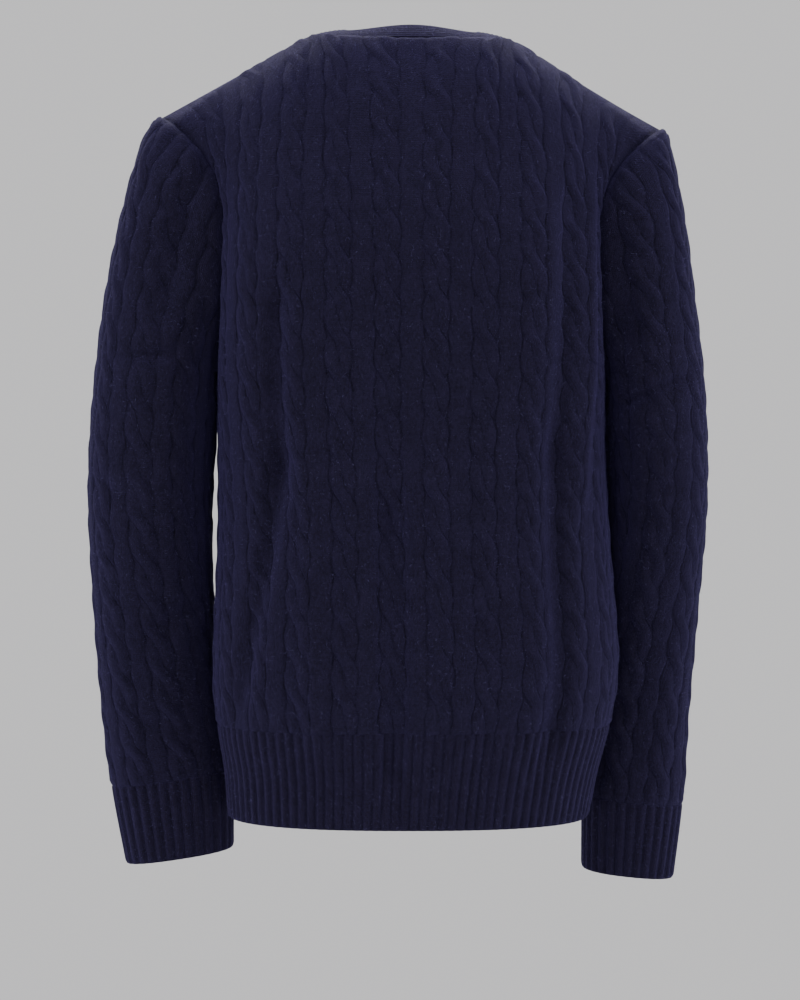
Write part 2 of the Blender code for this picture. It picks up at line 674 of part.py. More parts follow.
def ribbed(name, place, across, heights, closed, fix, material, collection):
    """A ribbed strip: two outer points a rib, a crest and a valley, over a plain inside."""
    columns, rows = len(across), len(heights)
    flat = np.array([(u, v) for v in heights for u in across])
    base, normals = place(flat)
    crest = np.tile([RIB_HEIGHT * (k % 2) for k in range(columns)], rows)
    outer = base + normals * (WALL + crest)[:, None]
    base, outer = fix(flat, base, outer)
    base, outer = settle(base), settle(outer)
    plain = list(range(0, columns, PLAIN_STEP))
    if not closed and plain[-1] != columns - 1:
        plain.append(columns - 1)

    shell = bmesh.new()
    out = [[shell.verts.new(outer[r * columns + k]) for k in range(columns)] for r in range(rows)]
    inn = [[shell.verts.new(base[r * columns + k]) for k in plain] for r in range(rows)]
    wrap = [0] if closed else []
    ring = list(range(columns)) + wrap
    coarse = list(range(len(plain))) + wrap
    for r in range(rows - 1):
        for a, b in zip(ring, ring[1:], strict=False):
            shell.faces.new([out[r][a], out[r][b], out[r + 1][b], out[r + 1][a]])
        for a, b in zip(coarse, coarse[1:], strict=False):
            shell.faces.new([inn[r][b], inn[r][a], inn[r + 1][a], inn[r + 1][b]])
    for r, down in ((0, True), (rows - 1, False)):
        for a, b in zip(coarse, coarse[1:], strict=False):
            first = plain[a]
            last = plain[b] if b else columns
            fan = [out[r][k % columns] for k in range(first, last + 1)]
            loop = fan + [inn[r][b], inn[r][a]]
            shell.faces.new(loop[::-1] if down else loop)
    if not closed:
        for k, end in ((0, 0), (columns - 1, -1)):
            for r in range(rows - 1):
                quad = [out[r][k], out[r + 1][k], inn[r + 1][end], inn[r][end]]
                shell.faces.new(quad if end else quad[::-1])
    close_up(shell)
    mesh = bpy.data.meshes.new(name)
    shell.to_mesh(mesh)
    shell.free()
    return add_object(name, mesh, material, collection)


# ---- body --------------------------------------------------------------------------------
def steps(start, end, size):
    """Evenly spaced values from start up to, but not including, end."""
    count = max(1, round(abs(end - start) / size))
    return [start + (end - start) * k / count for k in range(count)]


def front_edge(v):
    """Flat distance of the front's edge from the centre line: straight, then the V."""
    slope = (NECK_HALF - BAND_WIDTH / 2) / (NECK_POINT_RISE - VEE_RISE)
    return BAND_WIDTH / 2 + slope * VEE_SOFTNESS * math.log1p(math.exp((v - VEE_RISE) / VEE_SOFTNESS))


def front_edge_points():
    rises = steps(0.0, NECK_POINT_RISE, FRONT_EDGE_STEP)
    return [(front_edge(v), v) for v in rises]


def side_edge(face):
    """From the hem seam up the side seam and round the armhole to the shoulder point."""
    flat, _, _ = armhole_edge(face)
    side = [(BODY_HALF, v) for v in steps(0.0, BODY_LEVELS[UNDERARM_LEVEL][1], EDGE_STEP)]
    return side + [tuple(p) for p in flat[:-1]]


def top_edge(face, start, end, count):
    f = np.linspace(start, end, count + 1)[:-1]
    _, rise = top_line(f, face)
    return [(a * SHOULDER_HALF, v) for a, v in zip(f, rise, strict=True)]


def bottom_edge(centres, start, end):
    marks = [c + s * CABLE_HALF for c in centres for s in (-1, 1)]
    return [(start, 0.0)] + [(u, 0.0) for u in marks if start + MARK_MARGIN < u < end - MARK_MARGIN]


def mirrored(outline):
    return [(-u, v) for u, v in reversed(outline)]


def body_fix(face):
    """Rim points of a body panel, on the hem, side and shoulder seams and the armhole."""
    flat_hole, worn_hole, normal_hole = armhole_edge(face)

    def fix(flat, base, normals):
        for k, (u, v) in enumerate(flat):
            gap = np.abs(flat_hole - (abs(u), v)).max(axis=1)
            if gap.min() < ON_SEAM:
                at, side = int(gap.argmin()), math.copysign(1, u)
                base[k] = worn_hole[at] * (side, 1, 1)
                normals[k] = normal_hole[at] * (side, 1, 1)
        outer = base + normals * WALL
        for points in (base, outer):
            low = flat[:, 1] < ON_SEAM
            points[low, 2] = HEM_SEAM_Z + SEAM_GAP / 2
            points[:, 1] = face * np.maximum(face * points[:, 1], SEAM_GAP / 2)
        return base, outer

    return fix


def never(start, end):
    return False


NECK_FRACTION = NECK_HALF / SHOULDER_HALF
NECK_STEPS = 8
SHOULDER_STEPS = 7


def make_back(material, collection):
    centres = cable_centres(BODY_HALF, BODY_REPEAT)
    left = (
        side_edge(1)
        + top_edge(1, 1.0, NECK_FRACTION, SHOULDER_STEPS)
        + top_edge(1, NECK_FRACTION, 0.0, NECK_STEPS)
    )
    right = mirrored(left)
    outline = (
        bottom_edge(centres, -BODY_HALF, BODY_HALF) + left + [(0.0, BACK_NECK_RISE)] + right[:-1]
    )
    features = cable_features(centres, 0.0, NECK_POINT_RISE, -1)
    panel("back", partial(place_body, 1), outline, features, body_fix(1), never, material,
          collection)


def front_centres():
    return [FRONT_FIRST_CABLE + k * BODY_REPEAT for k in range(FRONT_CABLES)]


def make_front(name, material, collection):
    centres = front_centres()
    edge = front_edge_points()
    outline = (
        bottom_edge(centres, edge[0][0], BODY_HALF)
        + side_edge(-1)
        + top_edge(-1, 1.0, NECK_FRACTION, SHOULDER_STEPS)
        + [(NECK_HALF, NECK_POINT_RISE)]
        + edge[:0:-1]
    )
    if SIDE[name] < 0:
        outline = mirrored(outline)
        centres = [-c for c in centres]
    features = cable_features(centres, 0.0, NECK_POINT_RISE, 1)
    panel("front_" + name, partial(place_body, -1), outline, features, body_fix(-1), never,
          material, collection)


def hem_fix(face):
    def fix(flat, base, outer):
        for points in (base, outer):
            top = flat[:, 1] > -ON_SEAM
            bottom = flat[:, 1] < -HEM_HEIGHT + ON_SEAM
            points[top, 2] = HEM_SEAM_Z - SEAM_GAP / 2
            points[bottom, 2] = HEM_SEAM_Z - HEM_HEIGHT
            points[:, 1] = face * np.maximum(face * points[:, 1], SEAM_GAP / 2)
        return base, outer

    return fix


HEM_ROWS = (-HEM_HEIGHT, -HEM_HEIGHT / 2, 0.0)


def make_hems(material, collection):
    across = np.linspace(-BODY_HALF, BODY_HALF, 2 * HEM_RIBS_BACK + 1)
    ribbed("hem_back", partial(place_body, 1), across, HEM_ROWS, False, hem_fix(1),
           material, collection)
    across = np.linspace(BAND_WIDTH / 2, BODY_HALF, 2 * HEM_RIBS_FRONT + 1)
    for name, side in SIDE.items():
        run = across if side > 0 else -across[::-1]
        ribbed("hem_" + name, partial(place_body, -1), run, HEM_ROWS, False, hem_fix(-1),
               material, collection)


# ---- sleeves -----------------------------------------------------------------------------
def half_at(form, v):
    return float(np.interp(v, form.rise[:, 0], form.half))


def make_sleeve(name, material, collection):
    forms = {face: SLEEVE_FORMS[name, face] for face in (1, -1)}
    seam = forms[1].seam
    underarm = UNDERARM_Z - seam
    heights, _, _ = sleeve_edge(1)
    rises = steps(0.0, underarm, EDGE_STEP)

    def edge(face):
        under = [(face * half_at(forms[face], v), v) for v in rises]
        head = [(face * half_at(forms[face], z - seam), z - seam) for z in heights[:-1]]
        return under + head

    reach = {face: half_at(forms[face], 0.0) for face in (1, -1)}
    centres = [
        SLEEVE_CABLE_START + k * SLEEVE_REPEAT
        for k in range(-SLEEVE_CABLES_A_SIDE, SLEEVE_CABLES_A_SIDE + 1)
    ]
    back, front = edge(1), edge(-1)
    bottom = bottom_edge(centres, -reach[-1], reach[1])
    outline = bottom + back + [(0.0, SHOULDER_Z - seam)] + front[:0:-1]
    features = cable_features(centres, 0.0, SHOULDER_Z - seam, SIDE[name])
    edges = {face: sleeve_edge(face) for face in (1, -1)}

    def fix(flat, base, normals):
        mirror = np.array([SIDE[name], 1, 1])
        for k, (u, v) in enumerate(flat):
            if v < underarm - ON_SEAM:
                continue
            face = 1 if u >= 0 else -1
            levels, worn, body_normals = edges[face]
            at = int(np.abs(levels - seam - v).argmin())
            base[k] = worn[at] * mirror
            away = body_normals[at] * mirror
            toward = min(0.0, float(normals[k] @ away))
            if at == 0:
                normals[k], toward = np.array([0.0, 0.0, -1.0]), 0.0
            normals[k] = unit(normals[k] - toward * away)
        outer = base + normals * WALL
        low = flat[:, 1] < ON_SEAM
        for points in (base, outer):
            points[low, 2] = cuff_plane(name, points[low], SEAM_GAP / 2)
        return base, outer

    def sewn(start, end):
        return all(p[1] <= underarm + 1e-9 and abs(p[0]) >= half_at(
            forms[1 if p[0] > 0 else -1], p[1]) - 1e-6 for p in (start, end)) and start[1] != end[1]

    panel("sleeve_" + name, partial(place_sleeve, name), outline, features, fix, sewn, material,
          collection)


def cuff_plane(name, points, lift):
    form = SLEEVE_FORMS[name, 1]
    return form.seam - form.tilt * (SIDE[name] * points[:, 0] - form.centre) + lift


def make_cuff(name, material, collection):
    forms = {face: SLEEVE_FORMS[name, face] for face in (1, -1)}
    drop = forms[1].seam - SLEEVE_LEVELS[name][0][0]
    heights = (-drop, -drop / 2, 0.0)
    share = np.linspace(-1, 1, 2 * CUFF_RIBS + 1)[:-1]

    def place(flat):
        points, normals = np.empty((len(flat), 3)), np.empty((len(flat), 3))
        for face in (1, -1):
            mine = (flat[:, 0] >= 0) == (face > 0)
            form = forms[face]
            t = np.interp(flat[mine, 1], form.rise[:, 0], np.arange(len(form.rise)))
            points[mine], normals[mine] = form.at(np.abs(flat[mine, 0]), t)
        mirror = (SIDE[name], 1, 1)
        return points * mirror, normals * mirror

    def fix(flat, base, outer):
        for points in (base, outer):
            top = flat[:, 1] > -ON_SEAM
            points[top, 2] = cuff_plane(name, points[top], -SEAM_GAP / 2)
        return base, outer

    ribbed("cuff_" + name, place, share, heights, True, fix, material, collection)


# ---- band --------------------------------------------------------------------------------
def band_stations():
    """Points of the sewn edge from the right hem over the neck to the left hem, and normals."""
    hem = [(front_edge(v), v) for v in steps(-HEM_HEIGHT, 0.0, FRONT_EDGE_STEP)]
    edge = hem + front_edge_points()
    right = np.array([(-u, v) for u, v in edge])
    left = np.array(edge[::-1])
    neck = np.array(
        mirrored(top_edge(1, NECK_FRACTION, 0.0, NECK_STEPS))[::-1]
        + [(0.0, BACK_NECK_RISE)]
        + top_edge(1, NECK_FRACTION, 0.0, NECK_STEPS)[::-1]
    )
    parts = [place_body(-1, right), place_body(1, neck), place_body(-1, left)]
    points = np.concatenate([p for p, _ in parts])
    normals = np.concatenate([n for _, n in parts])
    for row in (0, -1):
        points[row, 2] = HEM_SEAM_Z - HEM_HEIGHT
    return points, normals


def make_band(material, collection):
    points, normals = band_stations()
    points = settle(points)
    along = np.gradient(points, axis=0)
    along /= np.linalg.norm(along, axis=1, keepdims=True)
    wide = np.cross(along, normals)
    wide /= np.linalg.norm(wide, axis=1, keepdims=True)
    radial = points * (1, 1, 0) + (0, BAND_CENTRE_Y, 0)
    radial /= np.linalg.norm(radial, axis=1, keepdims=True)
    lean = BAND_LEAN_BACK + (BAND_LEAN_SIDE - BAND_LEAN_BACK) * radial[:, :1] ** 2
    leaning = -np.sin(lean) * radial + np.cos(lean) * np.array([0, 0, 1.0])
    near = smoothstep((points[:, 2] - LEAN_FROM_Z) / LEAN_RISE)[:, None]
    wide = wide * (1 - near) + leaning * near
    wide -= along * np.sum(wide * along, axis=1, keepdims=True)
    wide /= np.linalg.norm(wide, axis=1, keepdims=True)
    for row in (0, -1):
        wide[row, 2] = normals[row, 2] = 0.0
        wide[row], normals[row] = unit(wide[row]), unit(normals[row])
    thick = np.cross(wide, along)
    onward = np.cross(along, normals) + wide
    onward /= np.linalg.norm(onward, axis=1, keepdims=True)

    section = [(0.0, 0.0), *((across, 1.0) for across in BAND_SECTION), (1.0, 0.0)]
    shell = bmesh.new()
    rings = []
    for k, point in enumerate(points):
        ring = []
        for across, up in section:
            height = up * (BAND_WALL + BAND_CROWN * math.sin(math.pi * across))
            out = thick[k] if across else normals[k]
            start = point + onward[k] * SEAM_GAP * (1 + 2 * near[k])
            reach = across * (BAND_WIDTH - 2 * SEAM_GAP)
            ring.append(shell.verts.new(start + wide[k] * reach + out * height))
        rings.append(ring)
    size = len(section)
    for a, b in zip(rings, rings[1:], strict=False):
        for k in range(size):
            n = (k + 1) % size
            shell.faces.new([a[k], a[n], b[n], b[k]])
    shell.faces.new(rings[0][::-1])
    shell.faces.new(rings[-1])
    close_up(shell)
    mesh = bpy.data.meshes.new("front_band")
    shell.to_mesh(mesh)
    shell.free()
    add_object("front_band", mesh, material, collection)


# ---- buttons -----------------------------------------------------------------------------
def button_mesh():
    """A turned disc with a raised edge and four sewing holes."""
    profile = [(r * BUTTON_RADIUS, h * BUTTON_THICKNESS / 2) for r, h in BUTTON_PROFILE]
    mesh = bpy.data.meshes.new("button_profile")
    mesh.from_pydata([(x, 0, z) for x, z in profile],
                     [(k, k + 1) for k in range(len(profile) - 1)], [])
    turned = bpy.data.objects.new("button_turned", mesh)
    bpy.context.scene.collection.objects.link(turned)
    screw = turned.modifiers.new("turn", "SCREW")
    screw.steps = screw.render_steps = BUTTON_STEPS
    screw.use_merge_vertices = True
    screw.merge_threshold = WELD
    cutters = bpy.data.collections.new("button_holes")
    bpy.context.scene.collection.children.link(cutters)
    for k in range(HOLES):
        angle = (2 * k + 1) * math.pi / HOLES
        place = (HOLE_OFFSET * math.cos(angle), HOLE_OFFSET * math.sin(angle), 0)
        bpy.ops.mesh.primitive_cylinder_add(
            vertices=HOLE_STEPS, radius=HOLE_RADIUS, depth=2 * BUTTON_THICKNESS, location=place)
        hole = bpy.context.object
        hole.hide_render, hole.display_type = True, "WIRE"
        for owner in hole.users_collection:
            owner.objects.unlink(hole)
        cutters.objects.link(hole)
    cut = turned.modifiers.new("holes", "BOOLEAN")
    cut.operand_type, cut.collection, cut.solver = "COLLECTION", cutters, "EXACT"
    bpy.context.view_layer.update()
    graph = bpy.context.evaluated_depsgraph_get()
    done = bpy.data.meshes.new_from_object(turned.evaluated_get(graph))
    for spare in [turned, *cutters.objects]:
        bpy.data.objects.remove(spare)
    bpy.data.collections.remove(cutters)
    return done


def make_buttons(material, collection):
    mesh = button_mesh()
    rises = np.linspace(VEE_RISE - TOP_BUTTON_DROP, LOW_BUTTON_V, BUTTONS)
    points, normals = place_body(-1, [(BUTTON_U, v) for v in rises])
    for k, (point, normal) in enumerate(zip(points, normals, strict=True)):
        lift = BAND_WALL + BAND_CROWN + 2 * SEAM_GAP + BUTTON_THICKNESS / 2
        button = add_object("button_%d" % (k + 1), mesh, material, collection)
        turn = Vector((0, 0, 1)).rotation_difference(Vector(normal)).to_matrix().to_4x4()
        button.matrix_world = Matrix.Translation(Vector(point + normal * lift)) @ turn


# ---- materials and assembly --------------------------------------------------------------
FINISHES = {  # linear colour and roughness
    "navy_cable_knit": ((0.010, 0.010, 0.026), 0.90),
    "navy_rib_knit": ((0.009, 0.009, 0.022), 0.90),
    "dark_button": ((0.008, 0.008, 0.014), 0.35),
}


def material(name):
    colour, roughness = FINISHES[name]
    made = bpy.data.materials.new(name)
    made.use_nodes = True
    shader = made.node_tree.nodes["Principled BSDF"]
    shader.inputs["Base Color"].default_value = (*colour, 1.0)
    shader.inputs["Roughness"].default_value = roughness
    shader.inputs["Metallic"].default_value = 0.0
    return made


def main():
    for old in list(bpy.data.objects):
        bpy.data.objects.remove(old)
    cardigan = bpy.data.collections.new("cable_knit_cardigan")
    bpy.context.scene.collection.children.link(cardigan)
    cable_knit = material("navy_cable_knit")
    rib_knit = material("navy_rib_knit")
    horn = material("dark_button")
    make_back(cable_knit, cardigan)
    for name in SIDE:
        make_front(name, cable_knit, cardigan)
        make_sleeve(name, cable_knit, cardigan)
        make_cuff(name, rib_knit, cardigan)
    make_hems(rib_knit, cardigan)
    make_band(rib_knit, cardigan)
    make_buttons(horn, cardigan)


main()
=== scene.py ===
import json
import math

import bpy
import numpy as np
from mathutils import Matrix, Vector

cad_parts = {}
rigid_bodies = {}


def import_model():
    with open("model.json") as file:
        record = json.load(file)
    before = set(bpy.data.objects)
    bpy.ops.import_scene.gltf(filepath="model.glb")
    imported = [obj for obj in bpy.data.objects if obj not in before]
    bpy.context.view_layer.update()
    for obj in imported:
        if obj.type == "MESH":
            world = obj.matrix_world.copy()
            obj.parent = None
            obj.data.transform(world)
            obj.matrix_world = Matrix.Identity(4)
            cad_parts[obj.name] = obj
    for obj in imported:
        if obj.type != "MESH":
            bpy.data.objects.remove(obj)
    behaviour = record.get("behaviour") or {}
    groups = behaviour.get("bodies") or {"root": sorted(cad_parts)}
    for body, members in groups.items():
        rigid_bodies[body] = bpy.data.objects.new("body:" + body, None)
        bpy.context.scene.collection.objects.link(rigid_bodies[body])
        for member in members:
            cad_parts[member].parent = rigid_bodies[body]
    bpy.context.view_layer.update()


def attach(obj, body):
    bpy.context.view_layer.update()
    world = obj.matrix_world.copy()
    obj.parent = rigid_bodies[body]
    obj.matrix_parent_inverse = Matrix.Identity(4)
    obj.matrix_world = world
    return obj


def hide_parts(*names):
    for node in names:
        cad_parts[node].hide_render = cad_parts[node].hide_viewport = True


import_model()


# ---- studio ------------------------------------------------------------------------------
# A level camera 1.6 m behind the garment. The floor is pale and turns up, through a wide
# bend, into a round wall. Soft boxes light the back, sides, front and wall, and one above
# and in front of the shoulders skims them, so that the wool's nap catches its light.
def linear(code):
    """A colour's sRGB hex code as linear red, green, blue and alpha."""
    parts = [int(code[k:k + 2], 16) / 255 for k in (1, 3, 5)]
    return (*[c / 12.92 if c <= 0.04045 else ((c + 0.055) / 1.055) ** 2.4 for c in parts], 1.0)


def bare_material(name):
    """A new material with no nodes yet."""
    made = bpy.data.materials.new(name)
    made.use_nodes = True
    made.node_tree.nodes.clear()
    return made


def add_node(material, kind, inputs=(), **settings):
    """Add a shader node with its settings; each input is given a value or linked to a socket."""
    node = material.node_tree.nodes.new(kind)
    for name, value in settings.items():
        setattr(node, name, value)
    for name, value in dict(inputs).items():
        if isinstance(value, bpy.types.NodeSocket):
            material.node_tree.links.new(value, node.inputs[name])
        else:
            node.inputs[name].default_value = value
    return node


CAMERA_PLACE, SENSOR_MM, LENS_MM = (0.0093, 1.6, -0.390), 24.0, 45.6

camera = bpy.data.objects.new("camera", bpy.data.cameras.new("camera"))
bpy.context.scene.collection.objects.link(camera)
camera.location = CAMERA_PLACE
camera.rotation_euler = (math.radians(90), 0, math.radians(180))
camera.data.sensor_fit = "VERTICAL"
camera.data.sensor_height, camera.data.lens = SENSOR_MM, LENS_MM
bpy.context.scene.camera = camera

FLOOR_Z, STUDIO_RADIUS, STUDIO_HEIGHT, FLOOR_BEND = -1.30, 4.2, 4.6, 1.0

bpy.ops.object.select_all(action="DESELECT")
bpy.ops.mesh.primitive_cylinder_add(
    vertices=96, radius=STUDIO_RADIUS, depth=STUDIO_HEIGHT, end_fill_type="NGON",
    location=(0, 0, FLOOR_Z + STUDIO_HEIGHT / 2))
studio = bpy.context.object
studio.name = "studio_floor"
bpy.ops.object.transform_apply(location=True)
for face in studio.data.polygons:
    face.select = face.normal.z > 0.5
bpy.ops.object.mode_set(mode="EDIT")
bpy.ops.mesh.delete(type="FACE")
bpy.ops.mesh.select_all(action="DESELECT")
bpy.ops.object.mode_set(mode="OBJECT")
for edge in studio.data.edges:
    edge.select = all(studio.data.vertices[k].co.z < FLOOR_Z + 0.01 for k in edge.vertices)
bpy.ops.object.mode_set(mode="EDIT")
bpy.ops.mesh.select_mode(type="EDGE")
bpy.ops.mesh.bevel(offset=FLOOR_BEND, segments=12)
bpy.ops.mesh.select_all(action="SELECT")
bpy.ops.mesh.flip_normals()
bpy.ops.object.mode_set(mode="OBJECT")
bpy.ops.object.shade_smooth()

# Matt emulsion paint, off-white: it gives no highlight, so the background stays even.
painted = bare_material("matt_painted_studio")
shader = add_node(painted, "ShaderNodeBsdfPrincipled",
                  {"Base Color": linear("#f0f0f0"), "Roughness": 0.95})
add_node(painted, "ShaderNodeOutputMaterial", {"Surface": shader.outputs[0]})
studio.data.materials.append(painted)

SOFT_BOXES = (
    # name, place, aim, width, height, watts
    ("soft_box_over", (0.0, -0.90, 0.84), (0, 0.0, -0.05), 1.9, 0.5, 38),
    ("soft_box_back", (0.0, 2.9, 0.10), (0, 0, -0.38), 3.0, 2.2, 30),
    ("soft_box_left", (2.3, 1.1, 0.0), (0, 0, -0.35), 0.8, 1.8, 27),
    ("soft_box_right", (-2.3, 1.1, 0.0), (0, 0, -0.35), 0.8, 1.8, 30),
    ("soft_box_front", (0.0, -2.9, 0.6), (0, 0, -0.38), 2.6, 2.0, 34),
    ("soft_box_wall", (0.0, -1.7, 1.9), (0, -4.2, -0.5), 3.2, 0.7, 100),
)
for name, place, aim, width, height, watts in SOFT_BOXES:
    light = bpy.data.objects.new(name, bpy.data.lights.new(name, "AREA"))
    bpy.context.scene.collection.objects.link(light)
    light.data.shape, light.data.size, light.data.size_y = "RECTANGLE", width, height
    light.data.energy = watts
    light.visible_camera = False
    light.location = place
    toward = np.subtract(aim, place)
    light.rotation_euler = (
        math.acos(-toward[2] / np.linalg.norm(toward)), 0,
        math.atan2(toward[1], toward[0]) - math.pi / 2)

world = bpy.data.worlds.new("studio_air")
world.use_nodes = True
air = world.node_tree.nodes["Background"].inputs
air["Color"].default_value, air["Strength"].default_value = linear("#e9e8ea"), 0.93
bpy.context.scene.world = world


# ---- back --------------------------------------------------------------------------------
# The back is one panel of cable knit, cut 480 mm wide at the chest with a shaped armhole at
# each side and a shallow neck. It is lofted to the worn form from the same table of sections
# as the solid, and its cables and purl grooves are raised on the outside only.
WALL, SEAM, WELD, SHARP_EDGE = 0.0020, 0.0001, 2e-5, math.radians(60)

BODY_COLUMNS = (
    "rise_mid rise_side z_mid z_side half_width back front squareness shoulder round sway"
).split()
BODY_LEVELS = (
    (-0.077, -0.077, -0.652, -0.652, 0.1480, 0.094, -0.096, 2.5, 0.00, 0.000, 0.0025),
    (-0.0385, -0.0385, -0.6135, -0.6135, 0.1535, 0.097, -0.099, 2.5, 0.00, 0.000, 0.0000),
    (0.000, 0.000, -0.575, -0.575, 0.1610, 0.101, -0.104, 2.6, 0.00, 0.000, -0.0020),
    (0.054, 0.054, -0.521, -0.521, 0.1655, 0.107, -0.110, 2.6, 0.00, 0.000, -0.0040),
    (0.154, 0.154, -0.421, -0.421, 0.1600, 0.102, -0.111, 2.7, 0.00, 0.000, -0.0020),
    (0.229, 0.229, -0.346, -0.346, 0.1575, 0.105, -0.117, 3.0, 0.00, 0.000, 0.0000),
    (0.300, 0.300, -0.276, -0.276, 0.1570, 0.110, -0.122, 3.4, 0.00, 0.000, 0.0000),
    (0.371, 0.362, -0.206, -0.216, 0.1541, 0.114, -0.118, 3.6, 0.00, 0.000, 0.0000),
    (0.440, 0.418, -0.140, -0.160, 0.1551, 0.109, -0.104, 3.2, 0.05, 0.000, 0.0000),
    (0.502, 0.468, -0.080, -0.110, 0.1775, 0.090, -0.080, 2.6, 0.35, 0.012, 0.0000),
    (0.566, 0.512, -0.016, -0.071, 0.2100, 0.055, -0.045, 2.2, 1.00, 0.000, 0.0000),
)
UNDERARM_LEVEL, ARMHOLE_LEVEL = 6, 8
BODY_HALF, SHOULDER_HALF, NECK_HALF = 0.240, 0.2125, 0.088
BACK_NECK_RISE, NECK_POINT_RISE, SHOULDER_RISE = 0.566, 0.584, 0.512
HEM_HEIGHT, HEM_SEAM_Z = 0.077, -0.575
UNDERARM_Z, SHOULDER_Z, SHOULDER_X, NECK_POINT_X = -0.276, -0.071, 0.210, 0.082
BACK_NECK_Y, BACK_NECK_Z, FRONT_PIT_Y, FRONT_PIT_Z, FRONT_PIT_DROP = (
    0.055, -0.016, -0.042, -0.060, 0.060)
UNDERARM_X, ARMHOLE_X, ARMHOLE_WAIST, ARMHOLE_DEPTH, ARMHOLE_POWER = (
    0.157, 0.151, 0.55, 0.050, 2.3)
ROUND_MID, ROUND_END, ROUND_OUT, EDGE_PULL = 0.4, 0.82, 0.6, 5
FORM_COLUMNS, FORM_ROWS_PER_LEVEL, ARC_STEPS = 96, 20, 721


def smoothstep(x):
    """0 up to 0 and 1 from 1, with an even turn at both ends."""
    x = np.clip(x, 0.0, 1.0)
    return x * x * (3.0 - 2.0 * x)


def smooth(knots, values, at):
    """A cubic curve through the rows of a table, read at any place between its knots."""
    knots, values, at = (np.asarray(a, float) for a in (knots, values, at))
    slopes = np.gradient(values, knots, axis=0)
    i = np.clip(np.searchsorted(knots, at, side="right") - 1, 0, len(knots) - 2)
    span = (knots[i + 1] - knots[i])[..., None]
    s = (at - knots[i])[..., None] / span
    return (
        (1 + 2 * s) * (1 - s) ** 2 * values[i]
        + s * (1 - s) ** 2 * span * slopes[i]
        + s * s * (3 - 2 * s) * values[i + 1]
        + s * s * (s - 1) * span * slopes[i + 1]
    )


def armhole(z):
    """x and y, both positive, of the armhole's edge at height z."""
    s = np.clip((z - UNDERARM_Z) / (SHOULDER_Z - UNDERARM_Z), 0.0, 1.0)
    low = np.clip(1.0 - s / ARMHOLE_WAIST, 0.0, 1.0)
    high = np.clip((s - ARMHOLE_WAIST) / (1.0 - ARMHOLE_WAIST), 0.0, 1.0)
    x = ARMHOLE_X + (UNDERARM_X - ARMHOLE_X) * low**2
    x = x + (SHOULDER_X - ARMHOLE_X) * high**ARMHOLE_POWER
    away = np.abs(2.0 * s - 1.0) ** ARMHOLE_POWER
    return x, ARMHOLE_DEPTH * (1.0 - away) ** (1.0 / ARMHOLE_POWER)


def even_arc(x, y):
    """Each row of curve points respaced to equal steps, and each row's length."""
    steps = np.hypot(np.diff(x, axis=1), np.diff(y, axis=1))
    run = np.concatenate([np.zeros((len(x), 1)), np.cumsum(steps, axis=1)], axis=1)
    share = np.linspace(0.0, 1.0, FORM_COLUMNS + 1)
    out = np.empty((len(x), FORM_COLUMNS + 1, 2))
    for row in range(len(x)):
        at = share * run[row, -1]
        out[row, :, 0] = np.interp(at, run[row], x[row])
        out[row, :, 1] = np.interp(at, run[row], y[row])
    return out, run[:, -1]


class Form:
    """A worn surface as rows of points: fraction f across and row t up, with its flat cut."""

    def __init__(self, points, rise, half, outward):
        self.points, self.rise, self.half = points, rise, np.maximum(half, 1e-6)
        normals = np.cross(np.gradient(points, axis=1), np.gradient(points, axis=0)) * outward
        length = np.linalg.norm(normals, axis=2, keepdims=True)
        self.normals = normals / np.maximum(length, 1e-12)

    def read(self, grid, f, t):
        """A grid's value at the fraction across and the row up."""
        rows, columns = grid.shape[0] - 1, grid.shape[1] - 1
        t, c = np.clip(t, 0, rows), np.clip(f, 0, 1) * columns
        j = np.minimum(t.astype(int), rows - 1)
        i = np.minimum(c.astype(int), columns - 1)
        a, b = t - j, c - i
        if grid.ndim == 3:
            a, b = a[:, None], b[:, None]
        low = grid[j, i] * (1 - b) + grid[j, i + 1] * b
        high = grid[j + 1, i] * (1 - b) + grid[j + 1, i + 1] * b
        return low * (1 - a) + high * a

    def cut(self, f, t):
        """Flat distances across and up."""
        half = np.interp(t, np.arange(len(self.half)), self.half)
        return f * half, self.read(self.rise, f, t)

    def at(self, f, t):
        """Worn points and outward normals."""
        normals = self.read(self.normals, f, t)
        normals /= np.maximum(np.linalg.norm(normals, axis=1, keepdims=True), 1e-9)
        return self.read(self.points, f, t), normals

    def row_at(self, rise, f=0.0):
        """The row whose flat distance up is rise, along the column f."""
        column = self.rise[:, round(f * FORM_COLUMNS)]
        return np.interp(rise, column, np.arange(len(column)))


def top_line(f, face):
    """The top edge of a body panel: half the neck, then the shoulder seam, and its rise."""
    neck = NECK_HALF / SHOULDER_HALF
    turn = np.clip(f / neck, 0, 1) * math.pi / 2
    along = np.clip((f - neck) / (1 - neck), 0, 1)
    if face > 0:
        pit_y, pit_z, pit_rise = BACK_NECK_Y, BACK_NECK_Z, BACK_NECK_RISE
    else:
        pit_y, pit_z, pit_rise = FRONT_PIT_Y, FRONT_PIT_Z, NECK_POINT_RISE - FRONT_PIT_DROP
    x = NECK_POINT_X * np.sin(turn) + (SHOULDER_X - NECK_POINT_X) * along
    z = pit_z * np.cos(turn) + SHOULDER_Z * along
    rise = NECK_POINT_RISE + (pit_rise - NECK_POINT_RISE) * np.cos(turn)
    rise = rise + (SHOULDER_RISE - NECK_POINT_RISE) * along
    return np.stack([x, pit_y * np.cos(turn), z], axis=-1), rise


